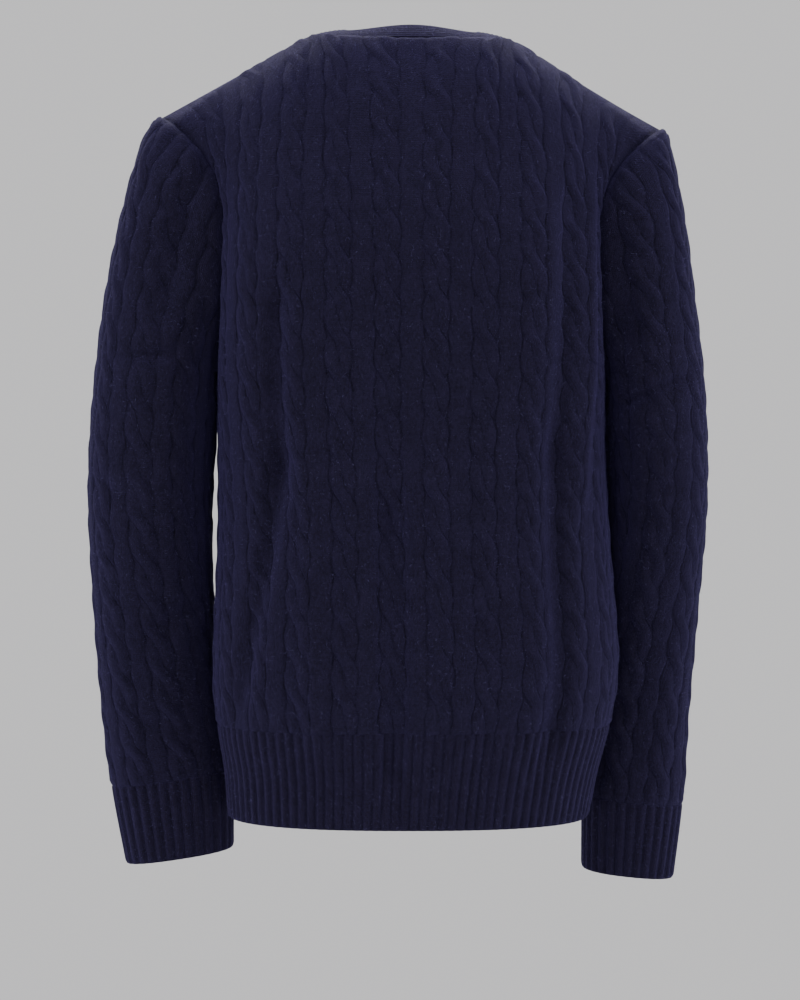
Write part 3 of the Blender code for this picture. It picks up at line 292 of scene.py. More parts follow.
def body_form(face):
    """The worn back (face 1) or front (face -1), from the centre line to the side seam."""
    levels = len(BODY_LEVELS) - 1
    index = np.linspace(0, levels, levels * FORM_ROWS_PER_LEVEL + 1)
    values = smooth(np.arange(levels + 1), BODY_LEVELS, index)
    level = {name: values[:, k] for k, name in enumerate(BODY_COLUMNS)}
    above = index > UNDERARM_LEVEL
    hole_x, hole_y = armhole(level["z_side"])
    width = level["half_width"][:, None]
    side_x = np.where(above, hole_x, level["half_width"])
    side_y = np.where(above, face * hole_y, 0.0)
    depth = level["back"] if face > 0 else level["front"]

    power = 2.0 / level["squareness"]
    last = np.arccos((side_y / depth) ** (1 / power))
    turn = np.linspace(0, 1, ARC_STEPS)[None, :] * last[:, None]
    power = power[:, None]
    x = width * np.sin(turn) ** power
    y = depth[:, None] * np.clip(np.cos(turn), 0, 1) ** power
    plan, run = even_arc(x, y)

    f = np.linspace(0, 1, FORM_COLUMNS + 1)[None, :]
    z = level["z_mid"][:, None] + (level["z_side"] - level["z_mid"])[:, None] * f**2
    rise = level["rise_mid"][:, None] + (level["rise_side"] - level["rise_mid"])[:, None] * f**2
    points = np.concatenate([plan, z[..., None]], axis=2)

    edge, edge_rise = top_line(f[0], face)
    weight = np.clip(level["shoulder"], 0, 1)[:, None]
    points += weight[..., None] * (edge[None] - points)
    rise += weight * (edge_rise[None] - rise)
    swell = np.sin(math.pi * np.clip(f / ROUND_END, 0, 1))
    bulge = level["round"][:, None] * (ROUND_MID + (1 - ROUND_MID) * swell)
    points[..., 1] += face * ROUND_OUT * bulge
    points[..., 2] += bulge

    edge = np.stack([side_x, side_y, level["z_side"]], axis=1)
    miss = np.where(above[:, None], edge - points[:, -1], 0.0)
    points += miss[:, None, :] * (f**EDGE_PULL)[..., None]

    cut = BODY_HALF * run / run[UNDERARM_LEVEL * FORM_ROWS_PER_LEVEL]
    cut += (SHOULDER_HALF - cut) * smoothstep((index - ARMHOLE_LEVEL) / (levels - ARMHOLE_LEVEL))
    form = Form(points, rise, np.where(above, cut, BODY_HALF), -face)
    form.normals[:, 0, 0] = 0.0
    form.normals[~above, -1, 1] = 0.0
    form.normals[-1, f[0] >= NECK_HALF / SHOULDER_HALF, 1] = 0.0
    form.normals /= np.linalg.norm(form.normals, axis=2, keepdims=True)
    form.side_z, form.depth, form.width = level["z_side"], depth, level["half_width"]
    form.squareness = level["squareness"]
    return form


FOLD_COLUMNS = "face across low high width depth lean".split()
FOLDS = (
    (1, 0.114, 0.170, 0.380, 0.0100, -0.0072, -0.040),
    (1, 0.136, -0.010, 0.250, 0.0120, -0.0075, -0.230),
    (1, 0.088, -0.040, 0.260, 0.0110, 0.0045, 0.020),
    (1, 0.019, -0.077, 0.210, 0.0130, -0.0072, 0.010),
    (1, 0.022, 0.120, 0.370, 0.0150, -0.0039, -0.010),
    (1, -0.020, 0.020, 0.240, 0.0140, 0.0027, 0.000),
    (1, -0.129, 0.190, 0.470, 0.0110, -0.0060, -0.050),
    (1, -0.124, -0.050, 0.260, 0.0110, -0.0069, -0.010),
    (1, -0.156, 0.160, 0.480, 0.0080, 0.0042, -0.030),
    (1, -0.060, -0.077, 0.130, 0.0120, -0.0030, 0.060),
    (-1, 0.120, 0.000, 0.240, 0.0140, -0.0067, 0.060),
    (-1, 0.085, 0.060, 0.320, 0.0120, 0.0039, -0.040),
    (-1, 0.140, 0.240, 0.460, 0.0110, -0.0060, 0.050),
    (-1, -0.110, 0.020, 0.270, 0.0140, -0.0067, -0.050),
    (-1, -0.150, 0.220, 0.470, 0.0110, -0.0057, -0.030),
    (-1, -0.075, -0.060, 0.120, 0.0120, 0.0033, 0.040),
)
FOLD_FADE, FOLD_QUIET = 0.050, 0.10
SHOULDER_DROP, DROP_X, DROP_LOW_Z, DROP_RISE = 0.010, 0.20, -0.45, 0.25


def folds(face, u, v):
    """The soft folds of a body panel, as a distance outward."""
    out = np.zeros(len(u))
    for row in FOLDS:
        fold = dict(zip(FOLD_COLUMNS, row, strict=True))
        if fold["face"] == face:
            middle = (fold["low"] + fold["high"]) / 2
            reach = (fold["high"] - fold["low"]) / 2
            centre = fold["across"] + fold["lean"] * (v - middle)
            window = smoothstep((reach - np.abs(v - middle)) / FOLD_FADE)
            out += fold["depth"] * window * np.exp(-(((u - centre) / fold["width"]) ** 2))
    return out


def settle(points):
    """The right shoulder hangs 10 mm lower, and its sleeve with it."""
    side = smoothstep(-points[:, 0] / DROP_X)
    points[:, 2] -= SHOULDER_DROP * side * smoothstep((points[:, 2] - DROP_LOW_Z) / DROP_RISE)
    return points


def sway(z):
    """How far the body leans to the left at a height."""
    column = BODY_COLUMNS.index("sway")
    return np.interp(z, [row[3] for row in BODY_LEVELS], [row[column] for row in BODY_LEVELS])


BACK_FORM = body_form(1)


def worn(form, face, side, f, t):
    """Flat place, worn inner points and outward normals of a body panel."""
    u, v = form.cut(f, t)
    u = u * side
    points, normals = form.at(f, t)
    points[:, 0] *= side
    normals[:, 0] *= side
    quiet = smoothstep((1 - f) / FOLD_QUIET)
    points += normals * (folds(face, u, v) * quiet)[:, None]
    points[:, 0] += sway(points[:, 2])
    return u, v, points, normals


CABLE_HALF, BODY_REPEAT, CROSSING_PITCH, FIRST_CROSSING = 0.0115, 0.040, 0.032, 0.028
STRAND_HALF, STRAND_SWING, STRAND_TWIST, CHANNEL_SWING = 0.0062, 0.0053, 4.2, 0.0022
CABLE_HEIGHT, UNDER_DROP, OVER_GAIN, STRAND_CROWN = 0.0019, 0.50, 0.40, 0.75
PANEL_HEIGHT, PANEL_SLOPE, SEAM_REACH, HEM_EASE = 0.0012, 0.0030, 0.0045, 0.0020


def cable_knit(u, v, first, repeat, hand):
    """Height of even cables with plain knit between them, and the place across in repeats.

    The strand in front runs down to the right at each crossing, seen from outside. hand is 1
    where u grows to the right in that view and -1 where it grows to the left.
    """
    place = hand * (u - first) / repeat
    x = repeat * ((place + 0.5) % 1.0 - 0.5)
    s = ((v - FIRST_CROSSING) / CROSSING_PITCH + 0.5) % 1.0 - 0.5
    swing = STRAND_SWING * np.tanh(STRAND_TWIST * s) / np.tanh(STRAND_TWIST / 2)
    crossing = np.cos(math.pi * s) ** 2

    def dome(x):
        return np.clip(1 - (x / STRAND_HALF) ** 2, 0, 1) ** STRAND_CROWN

    over = CABLE_HEIGHT * (1 + OVER_GAIN * crossing) * dome(x + swing)
    under = CABLE_HEIGHT * (1 - UNDER_DROP * crossing) * dome(x - swing)
    channel = CABLE_HALF - CHANNEL_SWING * crossing
    beside = PANEL_HEIGHT * smoothstep((np.abs(x) - channel) / PANEL_SLOPE)
    return np.maximum(np.maximum(over, under), beside), place


def seam_fade(*distances, reach=SEAM_REACH):
    """1 inside a panel, falling to 0 where it is sewn."""
    nearest = np.minimum.reduce([np.broadcast_to(d, distances[0].shape) for d in distances])
    return smoothstep(nearest / reach)


def vertex_points(mesh):
    points = np.empty(len(mesh.vertices) * 3)
    mesh.vertices.foreach_get("co", points)
    return points.reshape(-1, 3)


def knit_sheet(name, columns, rows, repeat, lay, material):
    """A knitted piece, made from a flat grid and laid on its form, with its flat size and area.

    lay takes the grid's places, from 0 to 1 across and up. It gives the flat place u and v,
    the worn inner points, the outward normals, the relief's height and the place across in
    repeats of the pattern.
    """
    bpy.ops.object.select_all(action="DESELECT")
    bpy.ops.mesh.primitive_grid_add(x_subdivisions=columns, y_subdivisions=rows, size=1)
    piece = bpy.context.object
    piece.name = piece.data.name = name
    mesh = piece.data
    flat = vertex_points(mesh) + 0.5
    u, v, inner, normals, height, place = lay(flat[:, 0], flat[:, 1])
    outer = settle(inner + normals * (WALL + height)[:, None])
    inner = settle(inner)

    corners = np.empty(len(mesh.loops), int)
    mesh.loops.foreach_get("vertex_index", corners)
    cut = np.stack([u, v], axis=1)
    knit = np.stack([place, np.full_like(place, repeat * 1000)], axis=1)
    mesh.uv_layers[0].name = "cut_mm"
    mesh.uv_layers.new(name="knit")
    mesh.uv_layers["cut_mm"].data.foreach_set("uv", (cut[corners] * 1000).ravel())
    mesh.uv_layers["knit"].data.foreach_set("uv", knit[corners].ravel())
    mesh.attributes.new("inside", "FLOAT_VECTOR", "POINT").data.foreach_set(
        "vector", inner.ravel())
    mesh.vertices.foreach_set("co", outer.ravel())

    order = np.lexsort((flat[:, 0].round(6), flat[:, 1].round(6)))
    net = cut[order].reshape(rows + 1, columns + 1, 2)
    one, two = net[1:, 1:] - net[:-1, :-1], net[1:, :-1] - net[:-1, 1:]
    area = 0.5 * np.abs(one[..., 0] * two[..., 1] - one[..., 1] * two[..., 0]).sum()

    mesh.materials.append(material)
    bpy.ops.object.mode_set(mode="EDIT")
    bpy.ops.mesh.select_all(action="SELECT")
    bpy.ops.mesh.remove_doubles(threshold=WELD)
    bpy.ops.object.mode_set(mode="OBJECT")
    outside = len(mesh.vertices)
    wall = piece.modifiers.new("cloth", "SOLIDIFY")
    wall.thickness, wall.offset = WALL, -1
    bpy.ops.object.modifier_apply(modifier="cloth")
    mesh = piece.data
    shell, inside = vertex_points(mesh), np.empty(len(mesh.vertices) * 3)
    mesh.attributes["inside"].data.foreach_get("vector", inside)
    shell[outside:] = inside.reshape(-1, 3)[outside:]
    mesh.vertices.foreach_set("co", shell.ravel())
    mesh.attributes.remove(mesh.attributes["inside"])
    bpy.ops.object.mode_set(mode="EDIT")
    bpy.ops.mesh.select_all(action="SELECT")
    bpy.ops.mesh.normals_make_consistent(inside=False)
    bpy.ops.object.mode_set(mode="OBJECT")
    bpy.ops.object.shade_smooth_by_angle(angle=SHARP_EDGE)
    return piece, (float(np.ptp(u)), float(np.ptp(v))), float(area)


def sew_on(piece, size, area, node, slot, held):
    """Put a knitted piece in the place of its CAD node: hang it on the root body and hide the
    node.
    """
    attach(piece, "root")
    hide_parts(node)


# Worsted wool, dyed navy and lightly brushed: fine matt fibres stand off the yarn and blur
# it, so light at a low angle turns the surface violet-blue. Stitches are 2.2 mm wide and
# 1.7 mm tall and follow the strands of a cable. Their colour is painted lighter on their
# crests and darker between them, as painted shade of their relief. The purl grooves that
# part the cables from the plain knit are narrow and a little uneven, and painted shade
# darkens them in the colour.
WALE_MM, COURSE_MM, GROOVE_MM, WAVER_MM, GROOVE_ASIDE_MM = 2.2, 1.7, 0.8, 1.8, 0.3
LEG_SLANT, STITCH_RELIEF, STITCH_TONE, PLAIN_TONE, GROOVE_SHADOW = 1.5, 0.35, 0.35, 0.62, 0.75


def bell(name, width):
    """Formulas that turn a distance in millimetres into 1 on a line and 0 away from it."""
    return ((name, "DIVIDE", name, width), (name, "MULTIPLY", name, name),
            (name, "MULTIPLY", name, -1.0), (name, "EXPONENT", name))


# Each row is a result, an operation and its terms: numbers, or results of rows above.
PLACE = (
    ("x", "ADD", "repeats", 0.5), ("x", "FRACT", "x"), ("x", "SUBTRACT", "x", 0.5),
    ("x", "MULTIPLY", "x", "repeat_mm"), ("waver", "SUBTRACT", "wander", 0.5),
    ("x", "MULTIPLY_ADD", "waver", WAVER_MM, "x"),
)
# The cable's mask dark marks its purl grooves and the edges of the strand in front, where painted
# shade is put into the colour.
CABLE_LINES = (
    ("s", "DIVIDE", "v", CROSSING_PITCH * 1000),
    ("s", "ADD", "s", 0.5 - FIRST_CROSSING / CROSSING_PITCH),
    ("s", "FRACT", "s"), ("s", "SUBTRACT", "s", 0.5),
    ("swing", "MULTIPLY", "s", STRAND_TWIST), ("swing", "TANH", "swing"),
    ("swing", "MULTIPLY", "swing", STRAND_SWING * 1000 / math.tanh(STRAND_TWIST / 2)),
    ("over", "ADD", "x", "swing"), ("under", "SUBTRACT", "x", "swing"),
    ("rim", "ABSOLUTE", "over"), ("rim", "SUBTRACT", "rim", STRAND_HALF * 1000),
    ("covered", "LESS_THAN", "rim", 0.0),
    ("in", "MULTIPLY", "s", math.pi), ("in", "COSINE", "in"), ("in", "MULTIPLY", "in", "in"),
    ("in", "MULTIPLY_ADD", "in", -CHANNEL_SWING * 1000, CABLE_HALF * 1000 + GROOVE_ASIDE_MM),
    ("aside", "ABSOLUTE", "x"), ("aside", "SUBTRACT", "aside", "in"),
    ("beside", "GREATER_THAN", "aside", 0.0), ("within", "SUBTRACT", 1.0, "beside"),
    ("strand", "SUBTRACT", "over", "under"),
    ("strand", "MULTIPLY_ADD", "strand", "covered", "under"),
    ("across", "SUBTRACT", "x", "strand"),
    ("across", "MULTIPLY_ADD", "across", "beside", "strand"),
    *bell("rim", GROOVE_MM), ("rim", "MULTIPLY", "rim", "within"),
    ("rim", "MULTIPLY", "rim", 0.8), *bell("aside", GROOVE_MM * 1.1),
    ("dark", "MAXIMUM", "rim", "aside"),
)
# The rib's mask dark marks the grooves between the ribs, where painted shade is put into the
# colour.
RIB_LINES = (
    ("across", "ADD", "x", 0.0), ("dark", "ABSOLUTE", "x"),
    ("half", "MULTIPLY", "repeat_mm", 0.5), ("dark", "SUBTRACT", "dark", "half"),
    *bell("dark", GROOVE_MM * 1.2), ("dark", "MULTIPLY", "dark", 0.7),
)
# The groove mask dark is made uneven by noise. It sinks the bump and is also painted into the
# colour as painted shade, and the colour is painted lighter on the stitch crests and darker
# between them, as painted shade of their relief.
STITCH = (
    ("groove_unevenness", "SUBTRACT", "wander", 0.25), ("groove_unevenness", "MULTIPLY", "groove_unevenness", 1.8),
    ("dark", "MULTIPLY", "dark", "groove_unevenness"),
    ("wale", "DIVIDE", "across", WALE_MM), ("wale", "FRACT", "wale"),
    ("out", "SUBTRACT", "wale", 0.5), ("out", "ABSOLUTE", "out"),
    ("leg", "DIVIDE", "v", COURSE_MM), ("leg", "MULTIPLY_ADD", "out", -LEG_SLANT, "leg"),
    ("leg", "FRACT", "leg"), ("leg", "MULTIPLY", "leg", math.pi), ("leg", "SINE", "leg"),
    ("loop", "MULTIPLY", "out", 2 * math.pi), ("loop", "SINE", "loop"),
    ("stitch", "MULTIPLY", "leg", "loop"),
    ("height", "MULTIPLY", "stitch", STITCH_RELIEF), ("height", "SUBTRACT", "height", "dark"),
    ("lit", "MULTIPLY_ADD", "stitch", STITCH_TONE, PLAIN_TONE),
    ("shadow", "MULTIPLY", "dark", GROOVE_SHADOW),
    ("lit", "SUBTRACT", "lit", "shadow"),
)


def wool(name, shade, crest, lines):
    """The wool, from its colour in the painted shade of the grooves, its colour on the lit stitch
    crests and its lines.

    The noises' scales count their grains in a metre: the yarn wanders over 8 mm, fibres lie
    in tufts of 2 mm and finer, and the dye drifts over 14 mm.
    """
    made = bare_material(name)
    solid = add_node(made, "ShaderNodeTexCoord").outputs["Object"]
    cut = add_node(made, "ShaderNodeUVMap", uv_map="cut_mm").outputs[0]
    knit = add_node(made, "ShaderNodeUVMap", uv_map="knit").outputs[0]
    cut = add_node(made, "ShaderNodeSeparateXYZ", {0: cut}).outputs
    knit = add_node(made, "ShaderNodeSeparateXYZ", {0: knit}).outputs
    wander = add_node(made, "ShaderNodeTexNoise",
                      {"Vector": solid, "Scale": 130.0, "Detail": 2.0}).outputs[0]
    known = {"repeats": knit[0], "repeat_mm": knit[1], "v": cut[1], "wander": wander}
    for result, operation, *terms in PLACE + lines + STITCH:
        known[result] = add_node(
            made, "ShaderNodeMath", {k: known.get(term, term) for k, term in enumerate(terms)},
            operation=operation).outputs[0]

    fibres = add_node(made, "ShaderNodeTexNoise",
                      {"Vector": solid, "Scale": 480.0, "Detail": 5.0, "Roughness": 0.8})
    clouds = add_node(made, "ShaderNodeTexNoise",
                      {"Vector": solid, "Scale": 70.0, "Detail": 3.0, "Roughness": 0.6})
    knit_bump = add_node(made, "ShaderNodeBump",
                         {"Height": known["height"], "Strength": 1.0, "Distance": 0.0009})
    fuzz = add_node(made, "ShaderNodeBump",
                    {"Height": fibres.outputs[0], "Strength": 1.0, "Distance": 0.0014,
                     "Normal": knit_bump.outputs[0]})

    marl = add_node(made, "ShaderNodeMapRange",
                    {"Value": fibres.outputs[0], "From Min": 0.35, "From Max": 0.65,
                     "To Min": 0.55, "To Max": 1.6})
    drift = add_node(made, "ShaderNodeMapRange",
                     {"Value": clouds.outputs[0], "From Min": 0.3, "From Max": 0.7,
                      "To Min": 0.82, "To Max": 1.18})
    tone = add_node(made, "ShaderNodeMix",
                    {0: known["lit"], 6: linear(shade), 7: linear(crest)},
                    data_type="RGBA")
    gain = add_node(made, "ShaderNodeMath",
                    {0: marl.outputs[0], 1: drift.outputs[0]}, operation="MULTIPLY")
    colour = add_node(made, "ShaderNodeVectorMath",
                      {0: tone.outputs[2], "Scale": gain.outputs[0]}, operation="SCALE")
    shader = add_node(made, "ShaderNodeBsdfPrincipled", {
        "Base Color": colour.outputs[0], "Roughness": 0.95, "Specular IOR Level": 0.10,
        "Sheen Weight": 0.20, "Sheen Roughness": 0.35,
        "Sheen Tint": linear("#9686ec"), "Normal": fuzz.outputs[0]})
    add_node(made, "ShaderNodeOutputMaterial", {"Surface": shader.outputs[0]})
    return made


cable_wool = wool("brushed_navy_wool_cable_knit", "#04030a", "#1c182d", CABLE_LINES)


def lay_back(a, b):
    side, f = np.where(a < 0.5, -1.0, 1.0), np.abs(2 * a - 1)
    t = BACK_FORM.row_at(b * BACK_NECK_RISE)
    u, v, points, normals = worn(BACK_FORM, 1, side, f, t)
    half, _ = BACK_FORM.cut(np.ones_like(f), t)
    height, place = cable_knit(u, v, BODY_REPEAT / 2, BODY_REPEAT, -1)
    height *= seam_fade(half * (1 - f), v + HEM_EASE, (1 - b) * BACK_NECK_RISE)
    points[:, 1] = np.maximum(points[:, 1], SEAM)
    return u, v, points, normals, height, place


back = knit_sheet("back_knit", 200, 240, BODY_REPEAT, lay_back, cable_wool)
sew_on(*back, "back", "cable_knit", "draped")


# ---- fronts ------------------------------------------------------------------------------
# The right and left fronts are half panels of the same knit, each cut from the band's seam,
# up the slope of the V to the shoulder. The right one stands 4.5 mm further out along the
# opening, because it is buttoned over the left one.
BAND_WIDTH, VEE_RISE, VEE_SOFTNESS, FRONT_FIRST_CABLE = 0.028, 0.340, 0.012, 0.036
FIRST_GUESS, EDGE_TURNS = 0.1, 20
OVER_LIFT, LIFT_FULL, LIFT_FADE, LIFT_ABOVE_VEE, LIFT_RISE_FADE = (
    0.0045, 0.020, 0.050, 0.055, 0.080)
SIDES = {"left": 1.0, "right": -1.0}

FRONT_FORM = body_form(-1)


def front_edge(v):
    """Flat distance of a front's edge from the centre line: straight, then the V."""
    slope = (NECK_HALF - BAND_WIDTH / 2) / (NECK_POINT_RISE - VEE_RISE)
    return BAND_WIDTH / 2 + slope * VEE_SOFTNESS * np.logaddexp(0, (v - VEE_RISE) / VEE_SOFTNESS)


def over_lift(u, v):
    """How far the upper front stands out, on the right side only."""
    near = 1.0 - smoothstep((np.abs(u) - LIFT_FULL) / LIFT_FADE)
    below = 1.0 - smoothstep((v - VEE_RISE - LIFT_ABOVE_VEE) / LIFT_RISE_FADE)
    return np.where(u < 0, OVER_LIFT * near * below, 0.0)


def front_edge_fraction(t):
    """The column of a front's edge at each row, found by turns."""
    f = np.full_like(t, FIRST_GUESS)
    for _ in range(EDGE_TURNS):
        half, _ = FRONT_FORM.cut(np.ones_like(t), t)
        f = front_edge(FRONT_FORM.cut(f, t)[1]) / half
    return f


def worn_front(side, f, t):
    u, v, points, normals = worn(FRONT_FORM, -1, side, f, t)
    points[:, 1] -= over_lift(u, v)
    return u, v, points, normals


def lay_front(side):
    def lay(a, b):
        t = FRONT_FORM.row_at(b * SHOULDER_RISE, 1.0)
        start = front_edge_fraction(t)
        f = start + (1 - start) * a
        u, v, points, normals = worn_front(side, f, t)
        half, _ = FRONT_FORM.cut(np.ones_like(f), t)
        height, place = cable_knit(u, v, side * FRONT_FIRST_CABLE, BODY_REPEAT, 1)
        height *= seam_fade(
            half * (1 - f), half * (f - start), v + HEM_EASE, (1 - b) * SHOULDER_RISE)
        points[:, 1] = np.minimum(points[:, 1], -SEAM)
        return u, v, points, normals, height, place

    return lay


for name, side in SIDES.items():
    front = knit_sheet(
        "front_knit_" + name, 96, 240, BODY_REPEAT, lay_front(side), cable_wool)
    sew_on(*front, "front_" + name, "cable_knit", "draped")


# ---- hem ---------------------------------------------------------------------------------
# The hem is a deep welt of two-by-two rib, 77 mm tall, knitted down from each panel. Its ribs
# are round and close, 9 mm apart, and pull the cardigan in a little below the cables.
RIB_HEIGHT, RIB_MIDDLE, RIB_SWING, RIB_CROWN = 0.0012, 0.45, 0.9, 0.7
WELT_EDGE, WELT_LEAST = 0.0030, 0.25
BACK_RIBS, FRONT_RIBS = 54, 25


def rib_knit(place):
    """Height of round ribs, from a place counted in ribs."""
    wave = RIB_MIDDLE + RIB_SWING * np.cos(2 * math.pi * place)
    return RIB_HEIGHT * np.clip(wave, 0, 1) ** RIB_CROWN


def welt_knit(place, v, tall):
    """Height of a welt's ribs, which lie flatter along its seam and its free edge."""
    fade = seam_fade(HEM_EASE - v, tall + v, reach=WELT_EDGE)
    return rib_knit(place) * (WELT_LEAST + (1 - WELT_LEAST) * fade)


def lay_hem(form, face, side):
    def lay(a, b):
        v = (b - 1) * HEM_HEIGHT
        if side:
            u = side * (BAND_WIDTH / 2 + (BODY_HALF - BAND_WIDTH / 2) * a)
            place = a * FRONT_RIBS + 0.5
        else:
            u = BODY_HALF * (2 * a - 1)
            place = a * BACK_RIBS + 0.5
        turned, f = np.where(u < 0, -1.0, 1.0), np.abs(u) / BODY_HALF
        t = form.row_at(v)
        u, v, points, normals = (
            worn_front(turned, f, t) if face < 0 else worn(form, face, turned, f, t))
        points[:, 1] = face * np.maximum(face * points[:, 1], SEAM)
        return u, v, points, normals, welt_knit(place, v, HEM_HEIGHT), place

    return lay


rib_wool = wool("brushed_navy_wool_rib", "#04030a", "#1b172b", RIB_LINES)

for name, form, face, side, columns in (
    ("back", BACK_FORM, 1, 0.0, 432),
    ("left", FRONT_FORM, -1, 1.0, 200),
    ("right", FRONT_FORM, -1, -1.0, 200),
):
    hem = knit_sheet(
        "hem_rib_" + name, columns, 26, 2 * BODY_HALF / BACK_RIBS,
        lay_hem(form, face, side), rib_wool)
    sew_on(*hem, "hem_" + name, "rib_knit", "stretched")


# ---- sleeves -----------------------------------------------------------------------------
# Each sleeve is one panel of cable knit, closed by a seam under the arm and set into the
# armhole by its head. It hangs empty but round, just clear of the body, and keeps the bend
# of an arm at rest.
SLEEVE_COLUMNS = "z outer inner y_mid depth".split()
SLEEVE_LEVELS = {
    "left": (
        (-0.695, 0.2425, 0.1560, -0.042, 0.029),
        (-0.628, 0.2545, 0.1570, -0.040, 0.034),
        (-0.550, 0.2620, 0.1690, -0.032, 0.042),
        (-0.466, 0.2665, 0.1720, -0.020, 0.050),
        (-0.380, 0.2680, 0.1715, -0.008, 0.057),
        (-0.276, 0.2600, 0.1615, 0.000, 0.060),
        (-0.213, 0.2515, 0.1530, 0.000, 0.060),
        (-0.150, 0.2385, 0.1530, 0.000, 0.060),
        (-0.108, 0.2270, 0.1680, 0.000, 0.060),
        (-0.087, 0.2195, 0.1900, 0.000, 0.060),
        (-0.071, 0.2105, 0.2100, 0.000, 0.060),
    ),
    "right": (
        (-0.713, 0.2255, 0.1520, -0.058, 0.030),
        (-0.650, 0.2335, 0.1530, -0.060, 0.036),
        (-0.570, 0.2385, 0.1580, -0.060, 0.042),
        (-0.490, 0.2435, 0.1650, -0.048, 0.050),
        (-0.390, 0.2475, 0.1700, -0.022, 0.058),
        (-0.276, 0.2410, 0.1615, 0.000, 0.060),
        (-0.213, 0.2340, 0.1530, 0.000, 0.060),
        (-0.150, 0.2260, 0.1530, 0.000, 0.060),
        (-0.108, 0.2185, 0.1680, 0.000, 0.060),
        (-0.087, 0.2140, 0.1900, 0.000, 0.060),
        (-0.071, 0.2105, 0.2100, 0.000, 0.060),
    ),
}
CUFF_SEAM_ROW = 1
CUFF_TILT, TILT_TOP_Z, TILT_FADE = {"left": 0.15, "right": 0.10}, -0.42, 0.20
SLEEVE_SQUARENESS, SLEEVE_FULLNESS, BODY_CLEARANCE = 2.4, 1.2, 0.0100
ARMHOLE_GAP, UNDERARM_TURN, UNDERARM_REACH, UNDERARM_OPENS = 0.0002, 0.0040, 0.050, 0.009
SLEEVE_REPEAT, SLEEVE_CABLE_START = 0.036, 0.011
ARMHOLE_STEPS = 15
SEAM_SINK, SEAM_SINK_REACH, UNDERARM_SEAM = 0.0014, 0.008, 0.004


def sleeve_edge(form, face):
    """The sleeve head's edge, sewn on the outside of the armhole's edge: heights, points."""
    turn = np.linspace(0, math.pi, ARMHOLE_STEPS + 1)
    z = (UNDERARM_Z + SHOULDER_Z) / 2 - (SHOULDER_Z - UNDERARM_Z) / 2 * np.cos(turn)
    t = np.interp(z, form.side_z, np.arange(len(form.side_z)))
    _, normals = form.at(np.ones(len(t)), t)
    x, y = armhole(z)
    for _ in range(3):
        low, high = normals[1:2] * (1, -1, 1), normals[-2:-1] * (1, -1, 1)
        wide = np.concatenate([low, normals, high])
        normals = wide[:-2] + 2 * wide[1:-1] + wide[2:]
        normals /= np.linalg.norm(normals, axis=1, keepdims=True)
    normals[0] = (1.0, 0.0, 0.0)
    points = np.stack([x, face * y, z], axis=1) + normals * (WALL + ARMHOLE_GAP)
    points[:, 0] += UNDERARM_TURN * smoothstep(1.0 - (z - UNDERARM_Z) / UNDERARM_REACH)
    return z, points


def beside_body(side, y, z):
    """The least x of a sleeve's inside, so that it hangs just clear of the body's side."""
    best = np.full(np.broadcast(y, z).shape, -1.0)
    z_full = np.broadcast_to(z, best.shape)
    for form, face in ((BACK_FORM, 1), (FRONT_FORM, -1)):
        depth = np.interp(z_full, form.side_z, np.abs(form.depth))
        width = np.interp(z_full, form.side_z, form.width)
        square = np.interp(z_full, form.side_z, form.squareness)
        inside = np.clip(1 - (np.abs(y) / depth) ** square, 0, 1) ** (1 / square)
        here = np.where(np.abs(y) < depth, width * inside, -1)
        best = np.where(np.sign(y) * face >= 0, here, best)
    room = WALL + ARMHOLE_GAP + UNDERARM_TURN
    room = room + (BODY_CLEARANCE - room) * smoothstep((UNDERARM_Z - z) / UNDERARM_OPENS)
    clear = best + room + side * sway(z_full)
    return np.where((z < UNDERARM_Z) & (z > HEM_SEAM_Z - HEM_HEIGHT - 0.01), clear, -1.0)


